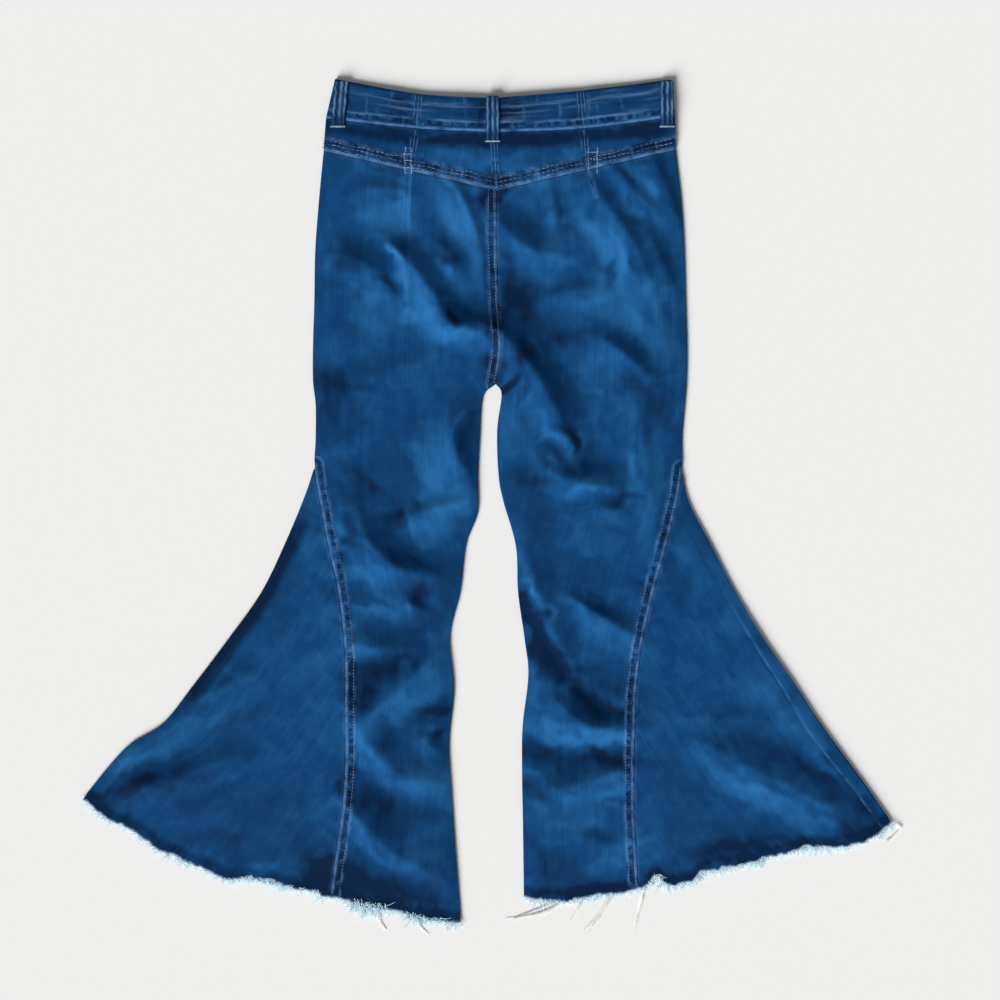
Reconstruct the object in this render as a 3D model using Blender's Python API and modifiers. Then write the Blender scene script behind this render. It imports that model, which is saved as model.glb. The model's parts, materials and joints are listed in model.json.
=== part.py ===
"""Flared jeans with a raw, frayed hem, laid flat on their front with the back side up.

+Z is up, +Y runs towards the waist, and the front panels lie on z = 0.  Tables and named sizes are
in millimetres; new_object() turns them into metres.  Left and right are as seen from above.
"""
import math
import random
from collections import namedtuple

import bmesh
import bpy
import numpy as np
from mathutils import Vector
from mathutils.bvhtree import BVHTree

MM = 0.001

# Cloth and seams
DENIM = 1.2             # one ply of denim
BAND = 2.2              # the doubled waistband
SEAM_GAP = 0.3          # between two pieces sewn edge to edge
LAYER_GAP = 0.3         # between two plies that lie on each other
ROW_STEP = 15.0         # along a leg, between the rows of its mesh
COLUMNS = 14            # across a leg, or across half the waistband

# How the upper layer stands off the lower one
PUFF = 3.2              # spare fullness away from every edge
PUFF_EASE = 0.6         # rounds the place where the upper layer meets the lower
SIDE_ROLL = 30.0        # from a side seam, over which the cloth rolls up to its fullness
END_ROLL = 45.0         # the same from the waist and the hem
END_LIFT = 0.25         # share of the fullness left at the waist and the hem

# Centre line, front rise and closure
CENTRE_X = 9.0
FRONT_TOP = 430.0       # top edge of the front waistband at the centre
FRONT_SEAM = 388.0      # its lower seam at the centre
FRONT_RISE = (48.0, 46.0)   # how much higher each of these is at the sides
FRONT_REST = 2.3        # the front waistband stands this high, on its button and belt loops
LAP = 15.0              # each end of the waistband passes the centre by this
Pad = namedtuple("Pad", "half_width half_height ramp")
WAIST_PAD = Pad(105.0, 60.0, 85.0)      # the raised part of the front's waist
LAP_PAD = Pad(LAP + 14.0, 26.0, 26.0)   # where the back lies on the lap, and on the fly
BUTTON_RADIUS = 8.5
BUTTON_HEIGHT = 2.0
ZIP_TOP, ZIP_LOW = 372.0, 262.0
ZIP_TAPE_WIDTH = 25.0
ZIP_TAPE = 0.8
ZIP_CHAIN_WIDTH = 5.0
ZIP_CHAIN_RISE = 0.8
FLY_PAD = Pad(ZIP_TAPE_WIDTH / 2 + 6.0, 66.0, 24.0)
SLIDER = (8.0, 11.0, 2.0)
HARD_EDGE = 0.5         # bevel of the button and the slider

LOOP_WIDTH = 15.0
LOOP_LENGTH = 53.0
LOOP_WALL = 1.4
LOOP_ARCH = 1.0         # how far the middle of a belt loop stands off the waistband

FRONT_HEM_SHORT = 5.0   # the front hem ends this much higher than the back one
FRINGE_GAP = 0.5        # between the cloth's raw edge and the strip that carries the fringe
FRINGE_STRIP = 3.0
Locks = namedtuple("Locks", "count shortest longest lean")
BACK_LOCKS = Locks(60, 4.0, 8.0, 2.0)   # along each hem
FRONT_LOCKS = Locks(34, 3.0, 6.0, 2.0)
LOCK_STAGES = ((1.0, 0.28),)            # share of the length, and what is left of the thickness
THREAD_STAGES = ((0.2, 0.26), (0.6, 0.16), (1.0, 0.1))
SEED = 7

Waist = namedtuple("Waist", "name top band yoke")
WAIST = (                     # top edge, waistband seam, yoke seam
    Waist("left side", (-170, 478.5), (-180, 434), (-183, 398)),
    Waist("left dart", (-76, 461.5), (-79, 423), (-86.5, 375.5)),
    Waist("centre", (6, 456.5), (8, 418), (11, 353)),
    Waist("right dart", (105, 465), (109, 423), (112.5, 376)),
    Waist("right side", (208.5, 478), (211.5, 436), (212.5, 399)),
)

Section = namedtuple("Section", "name edge seam inner")
LEFT_LEG = (                  # outer edge, side seam or godet seam, centre seam or inseam
    Section("yoke", (-183, 398), (-183, 398), (11, 353)),
    Section("high hip", (-188.5, 340), (-188.5, 340), (11, 305)),
    Section("hip", (-192.5, 285), (-192.5, 285), (12, 260)),
    Section("seat", (-193.5, 230), (-193.5, 230), (14, 215)),
    Section("low seat", (-195, 180), (-195, 180), (16, 175)),
    Section("fork", (-195, 140), (-195, 140), (10.5, 136)),
    Section("upper thigh", (-192, 112), (-192, 112), (-4, 121)),
    Section("thigh", (-192, 76), (-192, 76), (-7.5, 76)),
    Section("godet point", (-193, 44), (-193, 44), (-9.5, 34)),
    Section("knee", (-203.5, 12), (-188, 10), (-10, -9)),
    Section("below knee", (-225, -40), (-178, -42), (-23, -45)),
    Section("calf", (-253, -98), (-166, -98), (-29.5, -98)),
    Section("low calf", (-290.5, -151), (-159, -160), (-41, -148)),
    Section("flare", (-330.5, -204), (-158, -226), (-36.5, -206)),
    Section("wide flare", (-364, -246), (-158, -282), (-42, -268)),
    Section("ankle", (-399, -268), (-160, -326), (-39, -326)),
    Section("low ankle", (-423, -292), (-166, -374), (-35, -386)),
    Section("hem", (-454, -330), (-175, -436), (-29, -465)),
)
RIGHT_LEG = (
    Section("yoke", (212.5, 399), (212.5, 399), (11, 353)),
    Section("high hip", (219, 343), (219, 343), (11, 305)),
    Section("hip", (222.5, 288), (222.5, 288), (12, 260)),
    Section("seat", (224, 232), (224, 232), (14, 215)),
    Section("low seat", (225.5, 178), (225.5, 178), (16, 175)),
    Section("fork", (225, 140), (225, 140), (10.5, 136)),
    Section("upper thigh", (223, 112), (223, 112), (17, 124)),
    Section("thigh", (220, 76), (220, 76), (12, 84)),
    Section("godet point", (219.5, 40), (219.5, 40), (13.5, 34)),
    Section("knee", (228, 2), (213, 0), (19, 4)),
    Section("below knee", (252, -44), (201, -46), (33, -46)),
    Section("calf", (280.5, -99), (187, -99), (35.5, -98)),
    Section("low calf", (312, -151), (175, -152), (43, -152)),
    Section("flare", (345, -199), (168, -206), (47, -192)),
    Section("wide flare", (373, -242), (166, -254), (40.5, -250)),
    Section("ankle", (399, -278), (165, -300), (40, -304)),
    Section("low ankle", (427, -316), (166, -352), (41, -362)),
    Section("hem", (455, -356), (170, -427), (42, -439)),
)
FORK_ROW = 5                  # the centre seam ends here and the inseam begins
GODET_ROW = 8                 # the godet's point
HEM_BOW = {"left": (26.0, 1.1), "right": (9.0, 0.5)}    # a godet's hem hangs below a straight line

Fold = namedtuple("Fold", "name start through end low_side high_side height")
FOLDS = (     # crest from start through the middle to end; reach to its low and high side; height
    Fold("left seat", (-114, 300), (-76, 257), (-38, 201), 34, 24, 11.0),
    Fold("left low seat", (-58, 212), (-28, 198), (2, 190), 26, 22, 9.0),
    Fold("left low hip", (-172, 278), (-134, 268), (-100, 236), 26, 26, 8.5),
    Fold("left high hip", (-154, 346), (-120, 354), (-84, 344), 34, 22, 6.0),
    Fold("left of centre seam", (-46, 368), (-17, 318), (-4, 244), 28, 11, 7.0),
    Fold("left mid seat", (-68, 300), (-44, 282), (-24, 250), 16, 20, 6.5),
    Fold("left outer thigh", (-192, 56), (-170, 62), (-146, 84), 16, 20, 5.0),
    Fold("left inner thigh", (-42, 104), (-37, 64), (-16, 26), 34, 26, 9.0),
    Fold("left knee", (-104, -20), (-62, -6), (-12, 9), 30, 12, 5.0),
    Fold("left outer knee", (-146, -4), (-118, -58), (-62, -80), 30, 26, 12.5),
    Fold("left knee hollow", (-98, -92), (-86, -112), (-66, -120), 18, 13, 5.0),
    Fold("left calf", (-160, -152), (-130, -160), (-92, -160), 16, 24, 6.5),
    Fold("left calf diagonal", (-146, -246), (-106, -214), (-56, -166), 24, 36, 11.0),
    Fold("left shin", (-84, -262), (-64, -270), (-44, -286), 18, 16, 4.0),
    Fold("left ankle", (-156, -224), (-107, -294), (-40, -312), 24, 34, 9.0),
    Fold("left hem", (-157, -332), (-114, -382), (-44, -420), 18, 40, 9.0),
    Fold("left godet hem", (-446, -334), (-365, -309), (-278, -282), 22, 22, 7.0),
    Fold("left godet", (-420, -264), (-345, -226), (-262, -192), 34, 16, 6.0),
    Fold("left godet low", (-352, -352), (-325, -342), (-295, -328), 15, 13, 3.0),
    Fold("right dart", (130, 388), (166, 351), (196, 314), 16, 12, 4.5),
    Fold("right side hip", (182, 392), (206, 345), (225, 298), 18, 14, 5.5),
    Fold("right low hip", (178, 312), (195, 274), (212, 236), 14, 14, 4.5),
    Fold("right seat", (110, 362), (157, 303), (186, 242), 40, 24, 10.0),
    Fold("right seat edge", (180, 252), (194, 204), (208, 156), 32, 14, 2.5),
    Fold("right of centre seam", (12, 322), (46, 286), (94, 280), 30, 32, 10.5),
    Fold("right high seat", (68, 368), (79, 330), (96, 298), 15, 15, 5.0),
    Fold("right mid seat", (50, 222), (86, 236), (122, 242), 28, 13, 4.0),
    Fold("right seat diagonal", (-16, 208), (48, 156), (104, 40), 32, 32, 13.5),
    Fold("right outer thigh", (108, 192), (152, 170), (190, 130), 30, 22, 8.0),
    Fold("right thigh", (166, 124), (184, 10), (196, -72), 26, 15, 4.0),
    Fold("right knee", (58, 54), (92, 26), (160, 20), 20, 26, 10.5),
    Fold("right low knee", (84, -14), (118, -3), (160, -12), 16, 14, 4.0),
    Fold("right inner knee", (34, -34), (58, -106), (104, -190), 13, 30, 6.5),
    Fold("right calf crease", (98, -106), (126, -124), (168, -149), 30, 16, 8.0),
    Fold("right upper calf", (100, -186), (130, -212), (168, -222), 12, 18, 3.0),
    Fold("right calf", (60, -184), (102, -241), (170, -250), 30, 32, 11.0),
    Fold("right ankle", (56, -306), (92, -317), (162, -292), 28, 32, 11.5),
    Fold("right hem", (100, -368), (134, -380), (168, -372), 20, 16, 4.5),
    Fold("right godet", (232, -262), (320, -306), (418, -358), 38, 34, 9.0),
    Fold("right godet high", (196, -234), (250, -240), (302, -236), 16, 15, 2.0),
)
SPINE_PARTS = 8
UPHILL = (0.5, 0.866)         # the folds' high sides look this way
CREST_ROUND = 3.5             # radius over which a crest turns
FOLD_END = 0.14               # a crest is this share of a half wave from nothing at each end
FLANK_POWER = 1.6             # above 1, so that a flank runs out softly

BeltLoop = namedtuple("BeltLoop", "name centre lean")
BACK_LOOPS = (                # lean: how far the lower end stands to the right of the upper one
    BeltLoop("loop_back_centre", (7, 432.5), 0.0),
    BeltLoop("loop_side_left", (-164.5, 449.5), -4.3),
    BeltLoop("loop_side_right", (202.5, 449.5), 0.0),
)
FRONT_LOOPS = {"loop_front_left": -76.0, "loop_front_right": 102.0}     # where their middles are

LooseThread = namedtuple("LooseThread", "share across down")
LOOSE_THREADS = (             # on the right hem, from the godet's edge (0) to the inseam (1)
    LooseThread(0.70, -4, 24),
    LooseThread(0.78, -8, 31),
    LooseThread(0.84, -12, 36),
    LooseThread(0.93, -34, 13),
)


# ---- curves and heights -------------------------------------------------------------------------

def ease(share):
    """0 to 1 with level ends, for a share of a ramp."""
    share = min(max(share, 0.0), 1.0)
    return share * share * (3 - 2 * share)


def between(start, end, share):
    return tuple(a + (b - a) * share for a, b in zip(start, end))


def on_curve(points, place, corner=None):
    """A point on the smooth curve through the points, whose rows are counted by place."""
    last = len(points) - 1
    row = min(int(place), last - 1)
    share = place - row

    def slope(index, leaving):
        before = index if index == 0 or (index == corner and leaving) else index - 1
        after = index if index == last or (index == corner and not leaving) else index + 1
        return (np.array(points[after]) - points[before]) / (after - before)

    squared, cubed = share ** 2, share ** 3
    return tuple((2 * cubed - 3 * squared + 1) * np.array(points[row])
                 + (cubed - 2 * squared + share) * slope(row, True)
                 + (3 * squared - 2 * cubed) * np.array(points[row + 1])
                 + (cubed - squared) * slope(row + 1, False))


def leg_places():
    """Rows of the legs' meshes, shared by both legs, with an even count between two sections."""
    places = [0.0]
    for row in range(len(LEFT_LEG) - 1):
        drop = LEFT_LEG[row].seam[1] - LEFT_LEG[row + 1].seam[1]
        count = 2 * max(1, round(drop / (2 * ROW_STEP)))
        places += [row + (step + 1) / count for step in range(count)]
    return places


def leg_column(leg, column, places):
    """One edge or seam of a leg as a list of points."""
    corner = FORK_ROW if column == "inner" else GODET_ROW if column == "edge" else None
    points = [getattr(section, column) for section in leg]
    return [on_curve(points, place, corner) for place in places]


def segments(lines):
    """Starts and spans of the straight parts of some polylines."""
    starts = np.concatenate([np.array(line[:-1], float) for line in lines])
    ends = np.concatenate([np.array(line[1:], float) for line in lines])
    return starts, ends - starts


def nearest(x, y, starts, spans):
    """Distance from a point to each segment, the way there, and the place along the segment."""
    away = np.array((x, y)) - starts
    along = np.clip((away * spans).sum(-1) / (spans ** 2).sum(-1), 0, 1)
    away = away - spans * along[..., None]
    return np.hypot(away[..., 0], away[..., 1]), away, along


PLACES = leg_places()
LEGS = {"left": LEFT_LEG, "right": RIGHT_LEG}
SIDE_LINES = segments([leg_column(leg, "edge", PLACES) for leg in LEGS.values()]
                      + [leg_column(leg, "inner", [p for p in PLACES if p >= FORK_ROW])
                         for leg in LEGS.values()])
END_LINES = segments([[on_curve([row.top for row in WAIST], step / 6) for step in range(25)]]
                     + [[leg[-1].edge, leg[-1].seam, leg[-1].inner] for leg in LEGS.values()])


def fold_spines():
    """Each fold's crest as straight parts of the parabola through its three points."""
    lines = []
    for fold in FOLDS:
        points = []
        for step in range(SPINE_PARTS + 1):
            t = step / SPINE_PARTS
            weights = ((1 - t) * (1 - 2 * t), 4 * t * (1 - t), t * (2 * t - 1))
            points.append(sum(w * np.array(p, float)
                              for w, p in zip(weights, (fold.start, fold.through, fold.end))))
        lines.append(points)
    crests = np.array(lines)
    return crests[:, :-1], crests[:, 1:] - crests[:, :-1]


CREST_STARTS, CREST_SPANS = fold_spines()
LOW_REACHES = np.array([fold.low_side for fold in FOLDS], float)
HIGH_REACHES = np.array([fold.high_side for fold in FOLDS], float)
HEIGHTS = np.array([fold.height for fold in FOLDS], float)


def folds_at(x, y):
    """The folds' summed height over a point."""
    distance, away, along = nearest(x, y, CREST_STARTS, CREST_SPANS)
    part = distance.argmin(axis=1)
    rows = np.arange(len(FOLDS))
    distance, away = distance[rows, part], away[rows, part]
    share = (part + along[rows, part]) / SPINE_PARTS
    uphill = (away @ np.array(UPHILL) / np.maximum(distance, 1e-6) + 1) / 2
    uphill = uphill ** 2 * (3 - 2 * uphill)
    reaches = LOW_REACHES + (HIGH_REACHES - LOW_REACHES) * uphill
    fade = np.sin(math.pi * (FOLD_END + (1 - 2 * FOLD_END) * share))
    outward = np.clip((np.hypot(distance, CREST_ROUND) - CREST_ROUND) / reaches, 0, 1)
    return float((HEIGHTS * fade * (1 - outward) ** FLANK_POWER).sum())


def roll(x, y):
    """How much of its fullness the upper layer has here, from its distance to the edges."""
    side = min(nearest(x, y, *SIDE_LINES)[0].min() / SIDE_ROLL, 1)
    end = nearest(x, y, *END_LINES)[0].min() / END_ROLL
    return (1 - (1 - side) ** 2) * (END_LIFT + (1 - END_LIFT) * ease(end))


def plateau(x, y, centre, pad):
    """1 over a rectangle, falling to 0 over a ramp round it."""
    beyond = math.hypot(max(abs(x - centre[0]) - pad.half_width, 0),
                        max(abs(y - centre[1]) - pad.half_height, 0))
    return 1 - ease(beyond / pad.ramp)


def front_waist(x):
    """Top edge and lower seam of the front waistband."""
    side = WAIST[0].band[0] if x < CENTRE_X else WAIST[-1].band[0]
    share = (x - CENTRE_X) / (side - CENTRE_X)
    return FRONT_TOP + FRONT_RISE[0] * share ** 2, FRONT_SEAM + FRONT_RISE[1] * share ** 2


def front_lift(x, y):
    """Underside of the front layer: on the floor, but for the waist."""
    return FRONT_REST * plateau(x, y, (CENTRE_X + 4, FRONT_TOP + 2), WAIST_PAD)


def front_top(x, y):
    """What the front layer, the lapped waistband and the zip reach, for the back to lie on."""
    top, seam = front_waist(x)
    band = 1 - ease((abs(y - (top + seam) / 2) - (top - seam) / 2 - 3) / 15)
    lap = plateau(x, y, (CENTRE_X, (FRONT_TOP + FRONT_SEAM) / 2), LAP_PAD)
    fly = plateau(x, y, (CENTRE_X + 1, (ZIP_TOP + ZIP_LOW) / 2), FLY_PAD)
    return (front_lift(x, y) + DENIM + (BAND - DENIM) * band + (BAND + LAYER_GAP) * lap
            + (SLIDER[2] + LAYER_GAP) * fly)


def back_underside(x, y):
    """Underside of the back layer, just above the front layer and as full as the cloth stands."""
    resting = front_top(x, y) + LAYER_GAP
    full = DENIM + LAYER_GAP + (PUFF + folds_at(x, y)) * roll(x, y)
    return (resting + full + math.hypot(resting - full, PUFF_EASE)) / 2


# ---- meshes -------------------------------------------------------------------------------------

def new_material(name, color, roughness, metallic=0.0):
    material = bpy.data.materials.new(name)
    material.use_nodes = True
    shader = material.node_tree.nodes["Principled BSDF"]
    shader.inputs["Base Color"].default_value = (*color, 1)
    shader.inputs["Roughness"].default_value = roughness
    shader.inputs["Metallic"].default_value = metallic
    return material


def new_object(name, mesh, material):
    """A bmesh in millimetres as an object in metres, in the garment's collection."""
    bmesh.ops.recalc_face_normals(mesh, faces=mesh.faces)
    bmesh.ops.scale(mesh, vec=(MM, MM, MM), verts=mesh.verts)
    data = bpy.data.meshes.new(name)
    mesh.to_mesh(data)
    mesh.free()
    data.materials.append(material)
    data.shade_smooth()
    data.set_sharp_from_angle(angle=math.radians(40))
    made = bpy.data.objects.new(name, data)
    GARMENT.objects.link(made)
    return made


def inset(plan, gap=SEAM_GAP / 2):
    """A grid of plan points with its rim drawn in by half a seam gap."""
    grid = np.array(plan, float)

    def toward(start, end):
        step = end - start
        return step / np.hypot(step[..., 0], step[..., 1])[..., None] * gap

    moved = grid.copy()
    moved[:, 0] += toward(grid[:, 0], grid[:, 1])
    moved[:, -1] += toward(grid[:, -1], grid[:, -2])
    moved[0] += toward(grid[0], grid[1])
    moved[-1] += toward(grid[-1], grid[-2])
    return moved


def steepness(underside, x, y, reach=2.0):
    """Vertical thickness that a sloping ply shows, for each millimetre of the ply."""
    rise_x = (underside(x + reach, y) - underside(x - reach, y)) / (2 * reach)
    rise_y = (underside(x, y + reach) - underside(x, y - reach)) / (2 * reach)
    return math.sqrt(1 + min(rise_x ** 2 + rise_y ** 2, 1.0))


def wall(name, plan, underside, thickness, material, sloping=True):
    """A ply of cloth lofted over a grid of plan points, closed round its rim."""
    mesh = bmesh.new()
    lower, upper = [], []
    for row in plan:
        heights = [underside(x, y) for x, y in row]
        plies = [thickness * (steepness(underside, x, y) if sloping else 1) for x, y in row]
        lower.append([mesh.verts.new((x, y, z)) for (x, y), z in zip(row, heights)])
        upper.append([mesh.verts.new((x, y, z + ply))
                      for (x, y), z, ply in zip(row, heights, plies)])
    for grid in (lower, upper):
        for near, far in zip(grid, grid[1:]):
            for column in range(len(near) - 1):
                mesh.faces.new((near[column], near[column + 1], far[column + 1], far[column]))
    for below, above in zip(rim(lower), rim(upper)):
        mesh.faces.new((below[0], below[1], above[1], above[0]))
    return new_object(name, mesh, material)


def rim(grid):
    """The edges round a grid, in pairs of its entries."""
    loop = (grid[0] + [row[-1] for row in grid[1:]] + grid[-1][-2::-1]
            + [row[0] for row in grid[-2:0:-1]])
    return list(zip(loop, loop[1:] + loop[:1]))


def surface_of(objects):
    """A function that gives the top height of some walls over a point, or None beside them."""
    verts, faces = [], []
    for made in objects:
        start = len(verts)
        verts += [vert.co / MM for vert in made.data.vertices]
        faces += [[start + index for index in face.vertices] for face in made.data.polygons]
    tree = BVHTree.FromPolygons(verts, faces)

    def top(x, y):
        place = tree.ray_cast(Vector((x, y, 100)), Vector((0, 0, -1)))[0]
        return None if place is None else place.z

    return top


def strip_over(carriers, clearance, reach=4.0):
    """Underside of a strip that lies on some walls: their highest point near by, moved out."""
    top = surface_of(carriers)

    def underside(x, y):
        around = [top(x + dx, y + dy) for dx in (-reach, 0, reach) for dy in (-reach, 0, reach)]
        return max(height for height in around if height is not None) + clearance

    return underside


def rectangle(centre, width, length, columns, rows, lean=0.0):
    """A grid of plan points, from the top down, sheared sideways by lean."""
    grid = []
    for row in range(rows + 1):
        share = row / rows - 0.5
        grid.append([(centre[0] + lean * share + width * (column / columns - 0.5),
                      centre[1] - length * share) for column in range(columns + 1)])
    return grid


# ---- the garment's pieces -----------------------------------------------------------------------

def waist_grid(column_from, column_to, upper, lower, rows):
    """Plan points between two of the waist's curves, over some of its columns."""
    curves = [[getattr(row, name) for row in WAIST] for name in (upper, lower)]
    grid = []
    for row in range(rows + 1):
        line = []
        for column in range(column_from, column_to + 1):
            place = 2 * column / COLUMNS
            corner = WAIST.index(next(point for point in WAIST if point.name == "centre"))
            ends = [on_curve(curve, place, corner) for curve in curves]
            line.append(between(*ends, row / rows))
        grid.append(line)
    return grid


def leg_grid(leg, left_column, right_column, places, columns, bow=(0.0, 1.0)):
    """Plan points between two of a leg's curves; a bow, with its skew, lets the hem end hang."""
    starts = leg_column(leg, left_column, places)
    ends = leg_column(leg, right_column, places)
    hem_width = math.dist(starts[-1], ends[-1])
    grid = []
    for start, end in zip(starts, ends):
        width = math.dist(start, end)
        hang = 4 * bow[0] * (width / hem_width) ** 2
        across = Vector(end) - Vector(start)
        down = Vector((across.y, -across.x)).normalized()
        if down.y > 0:
            down.negate()
        line = []
        for column in range(columns + 1):
            share = column / columns
            x, y = between(start, end, share)
            arc = hang * share ** bow[1] * (1 - share ** bow[1])
            line.append((x + down.x * arc, y + down.y * arc))
        grid.append(line)
    return grid


def godet_places(places):
    """Rows of a godet: the first stands just below its point, where it is wide enough to sew."""
    below = [place for place in places if place > GODET_ROW]
    return [GODET_ROW + 0.3] + below if below[0] > GODET_ROW + 0.4 else below


def waist_and_yoke():
    """The back waistband in three lengths and the yoke in four pieces, parted at the darts."""
    dart, centre = COLUMNS // 2, COLUMNS
    bands = {"left": (0, dart), "centre": (dart, 3 * dart), "right": (3 * dart, 4 * dart)}
    yokes = {"left_side": (0, dart), "left_centre": (dart, centre),
             "right_centre": (centre, 3 * dart), "right_side": (3 * dart, 4 * dart)}
    made = [wall(f"waistband_back_{name}", inset(waist_grid(*columns, "top", "band", 3)),
                 back_underside, BAND, BAND_CLOTH) for name, columns in bands.items()]
    made += [wall(f"yoke_{name}", inset(waist_grid(*columns, "band", "yoke", 4)),
                  back_underside, DENIM, CLOTH) for name, columns in yokes.items()]
    return made


def back_leg(side):
    leg = LEGS[side]
    grid = leg_grid(leg, "seam", "inner", PLACES, COLUMNS)
    wall(f"back_leg_{side}", inset(grid), back_underside, DENIM, CLOTH)
    flare = leg_grid(leg, "edge", "seam", godet_places(PLACES), COLUMNS - 2, HEM_BOW[side])
    wall(f"godet_back_{side}", inset(flare), back_underside, DENIM, CLOTH)
    return flare[-1] + grid[-1][1:]


def shortened(grid, amount):
    """A panel's grid with its hem drawn up."""
    hem = [between(point, above, amount / math.dist(point, above))
           for point, above in zip(grid[-1], grid[-2])]
    return grid[:-1] + [hem]


def front_leg(side):
    """A front leg up to the front waistband, whose seam it meets, and its half of the godet."""
    leg, places, columns = LEGS[side], PLACES[::2], COLUMNS // 2
    grid = leg_grid(leg, "seam", "inner", places, columns)
    grid[0] = [(x, front_waist(x)[1]) for x in front_columns(side)]
    grid = shortened(grid, FRONT_HEM_SHORT)
    made = wall(f"front_leg_{side}", inset(grid), front_lift, DENIM, CLOTH, sloping=False)
    flare = leg_grid(leg, "edge", "seam", godet_places(places), columns - 1, HEM_BOW[side])
    flare = shortened(flare, FRONT_HEM_SHORT)
    wall(f"godet_front_{side}", inset(flare), front_lift, DENIM, CLOTH, sloping=False)
    return made, flare[-1] + grid[-1][1:]


def front_columns(side):
    """Where the columns of a front leg meet the waistband, from the side to the centre."""
    outer = (WAIST[0] if side == "left" else WAIST[-1]).band[0]
    return [outer + (CENTRE_X - outer) * column / (COLUMNS // 2)
            for column in range(COLUMNS // 2 + 1)]


def front_waistbands():
    """Two waistband ends: the left one outside, against the floor, and the right one over it."""
    made = []
    lean = WAIST[0].top[0] - WAIST[0].band[0], WAIST[-1].top[0] - WAIST[-1].band[0]
    for side, reach in (("left", LAP), ("right", -LAP)):
        columns = front_columns(side)
        if side == "right":
            columns[-1] = CENTRE_X + LAP + 1
        columns.append(CENTRE_X + reach)
        grid = []
        for row in range(4):
            line = []
            for x in columns:
                top, seam = front_waist(x)
                outward = max((x - CENTRE_X) / (columns[0] - CENTRE_X), 0)
                shift = lean[side == "right"] * outward ** 2
                line.append(between((x + shift, top), (x, seam), row / 3))
            grid.append(line)

        def underside(x, y):
            lapped = 1 - ease((x - CENTRE_X - LAP - 1) / 14) if side == "right" else 0
            return front_lift(x, y) + (BAND + LAYER_GAP) * lapped

        made.append(wall(f"waistband_front_{side}", inset(grid), underside, BAND, BAND_CLOTH,
                         sloping=False))
    return made


def belt_loop(loop, carriers):
    """A loop on the back: its two ends lie on the cloth and its middle arches a little."""
    resting = strip_over(carriers, LAYER_GAP + 0.1)
    top = loop.centre[1] + LOOP_LENGTH / 2

    def underside(x, y):
        share = min(max((top - y) / LOOP_LENGTH, 0), 1)
        return resting(x, y) + LOOP_ARCH * math.sin(math.pi * share) ** 2

    wall(loop.name, rectangle(loop.centre, LOOP_WIDTH, LOOP_LENGTH, 2, 8, loop.lean), underside,
         LOOP_WALL, BAND_CLOTH, sloping=False)


def front_loop(name, x):
    """A loop on the front: its middle lies on the floor and its ends reach up to the waistband."""
    top, seam = front_waist(x)
    centre = (x, (top + seam) / 2 - 4)
    rise = FRONT_REST - LAYER_GAP - LOOP_WALL

    def underside(_, y):
        share = min(abs(y - centre[1]) / (LOOP_LENGTH / 2), 1)
        return rise * ease((share - 0.6) / 0.4)

    wall(name, rectangle(centre, LOOP_WIDTH, LOOP_LENGTH, 2, 10), underside, LOOP_WALL, BAND_CLOTH,
         sloping=False)


def button():
    """The head of the waist button, face down on the floor."""
    bpy.ops.mesh.primitive_cylinder_add(
        vertices=32, radius=BUTTON_RADIUS * MM, depth=BUTTON_HEIGHT * MM,
        location=(CENTRE_X * MM, (FRONT_TOP + FRONT_SEAM) / 2 * MM, BUTTON_HEIGHT / 2 * MM))
    head = bpy.context.object
    head.name = head.data.name = "button"
    bevel = head.modifiers.new("rounded edge", "BEVEL")
    bevel.width = HARD_EDGE * MM
    bevel.segments = 2
    bevel.limit_method = "ANGLE"
    head.data.materials.append(METAL)
    for collection in list(head.users_collection):
        collection.objects.unlink(head)
    GARMENT.objects.link(head)


def zip_fastening(front_legs):
    """Tape with its chain of teeth as one ridge, and the slider at its top with its tab."""
    resting = strip_over(front_legs, LAYER_GAP)
    x = CENTRE_X + 1
    half, chain = ZIP_TAPE_WIDTH / 2, ZIP_CHAIN_WIDTH / 2
    rows = 8
    mesh = bmesh.new()
    rings = []
    for row in range(rows + 1):
        y = ZIP_TOP - (ZIP_TOP - ZIP_LOW) * row / rows
        z = resting(x, y)
        profile = ((-half, 0), (half, 0), (half, ZIP_TAPE), (chain, ZIP_TAPE),
                   (chain * 0.7, ZIP_TAPE + ZIP_CHAIN_RISE), (-chain * 0.7, ZIP_TAPE + ZIP_CHAIN_RISE),
                   (-chain, ZIP_TAPE), (-half, ZIP_TAPE))
        rings.append([mesh.verts.new((x + across, y, z + up)) for across, up in profile])
    for near, far in zip(rings, rings[1:]):
        for index in range(len(near)):
            after = (index + 1) % len(near)
            mesh.faces.new((near[index], near[after], far[after], far[index]))
    mesh.faces.new(rings[0])
    mesh.faces.new(rings[-1])
    new_object("zip_tape", mesh, TAPE)

    width, length, height = SLIDER
    mesh = bmesh.new()
    bmesh.ops.create_cube(mesh, size=1)
    bmesh.ops.scale(mesh, vec=(width, length, height), verts=mesh.verts)
    middle = ZIP_TOP + SEAM_GAP + length / 2
    bmesh.ops.translate(mesh, vec=(x, middle, resting(x, middle) + height / 2), verts=mesh.verts)
    bmesh.ops.bevel(mesh, geom=mesh.edges, offset=HARD_EDGE, segments=1, affect="EDGES")
    new_object("zip_slider", mesh, METAL)


def offset_line(line, distance):
    """A hem line moved outwards, away from the waist."""
    moved = []
    for index, point in enumerate(line):
        before, after = line[max(index - 1, 0)], line[min(index + 1, len(line) - 1)]
        along = Vector(after) - Vector(before)
        out = Vector((along.y, -along.x)).normalized()
        if out.y > 0:
            out.negate()
        moved.append(Vector(point) + out * distance)
    return moved


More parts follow.
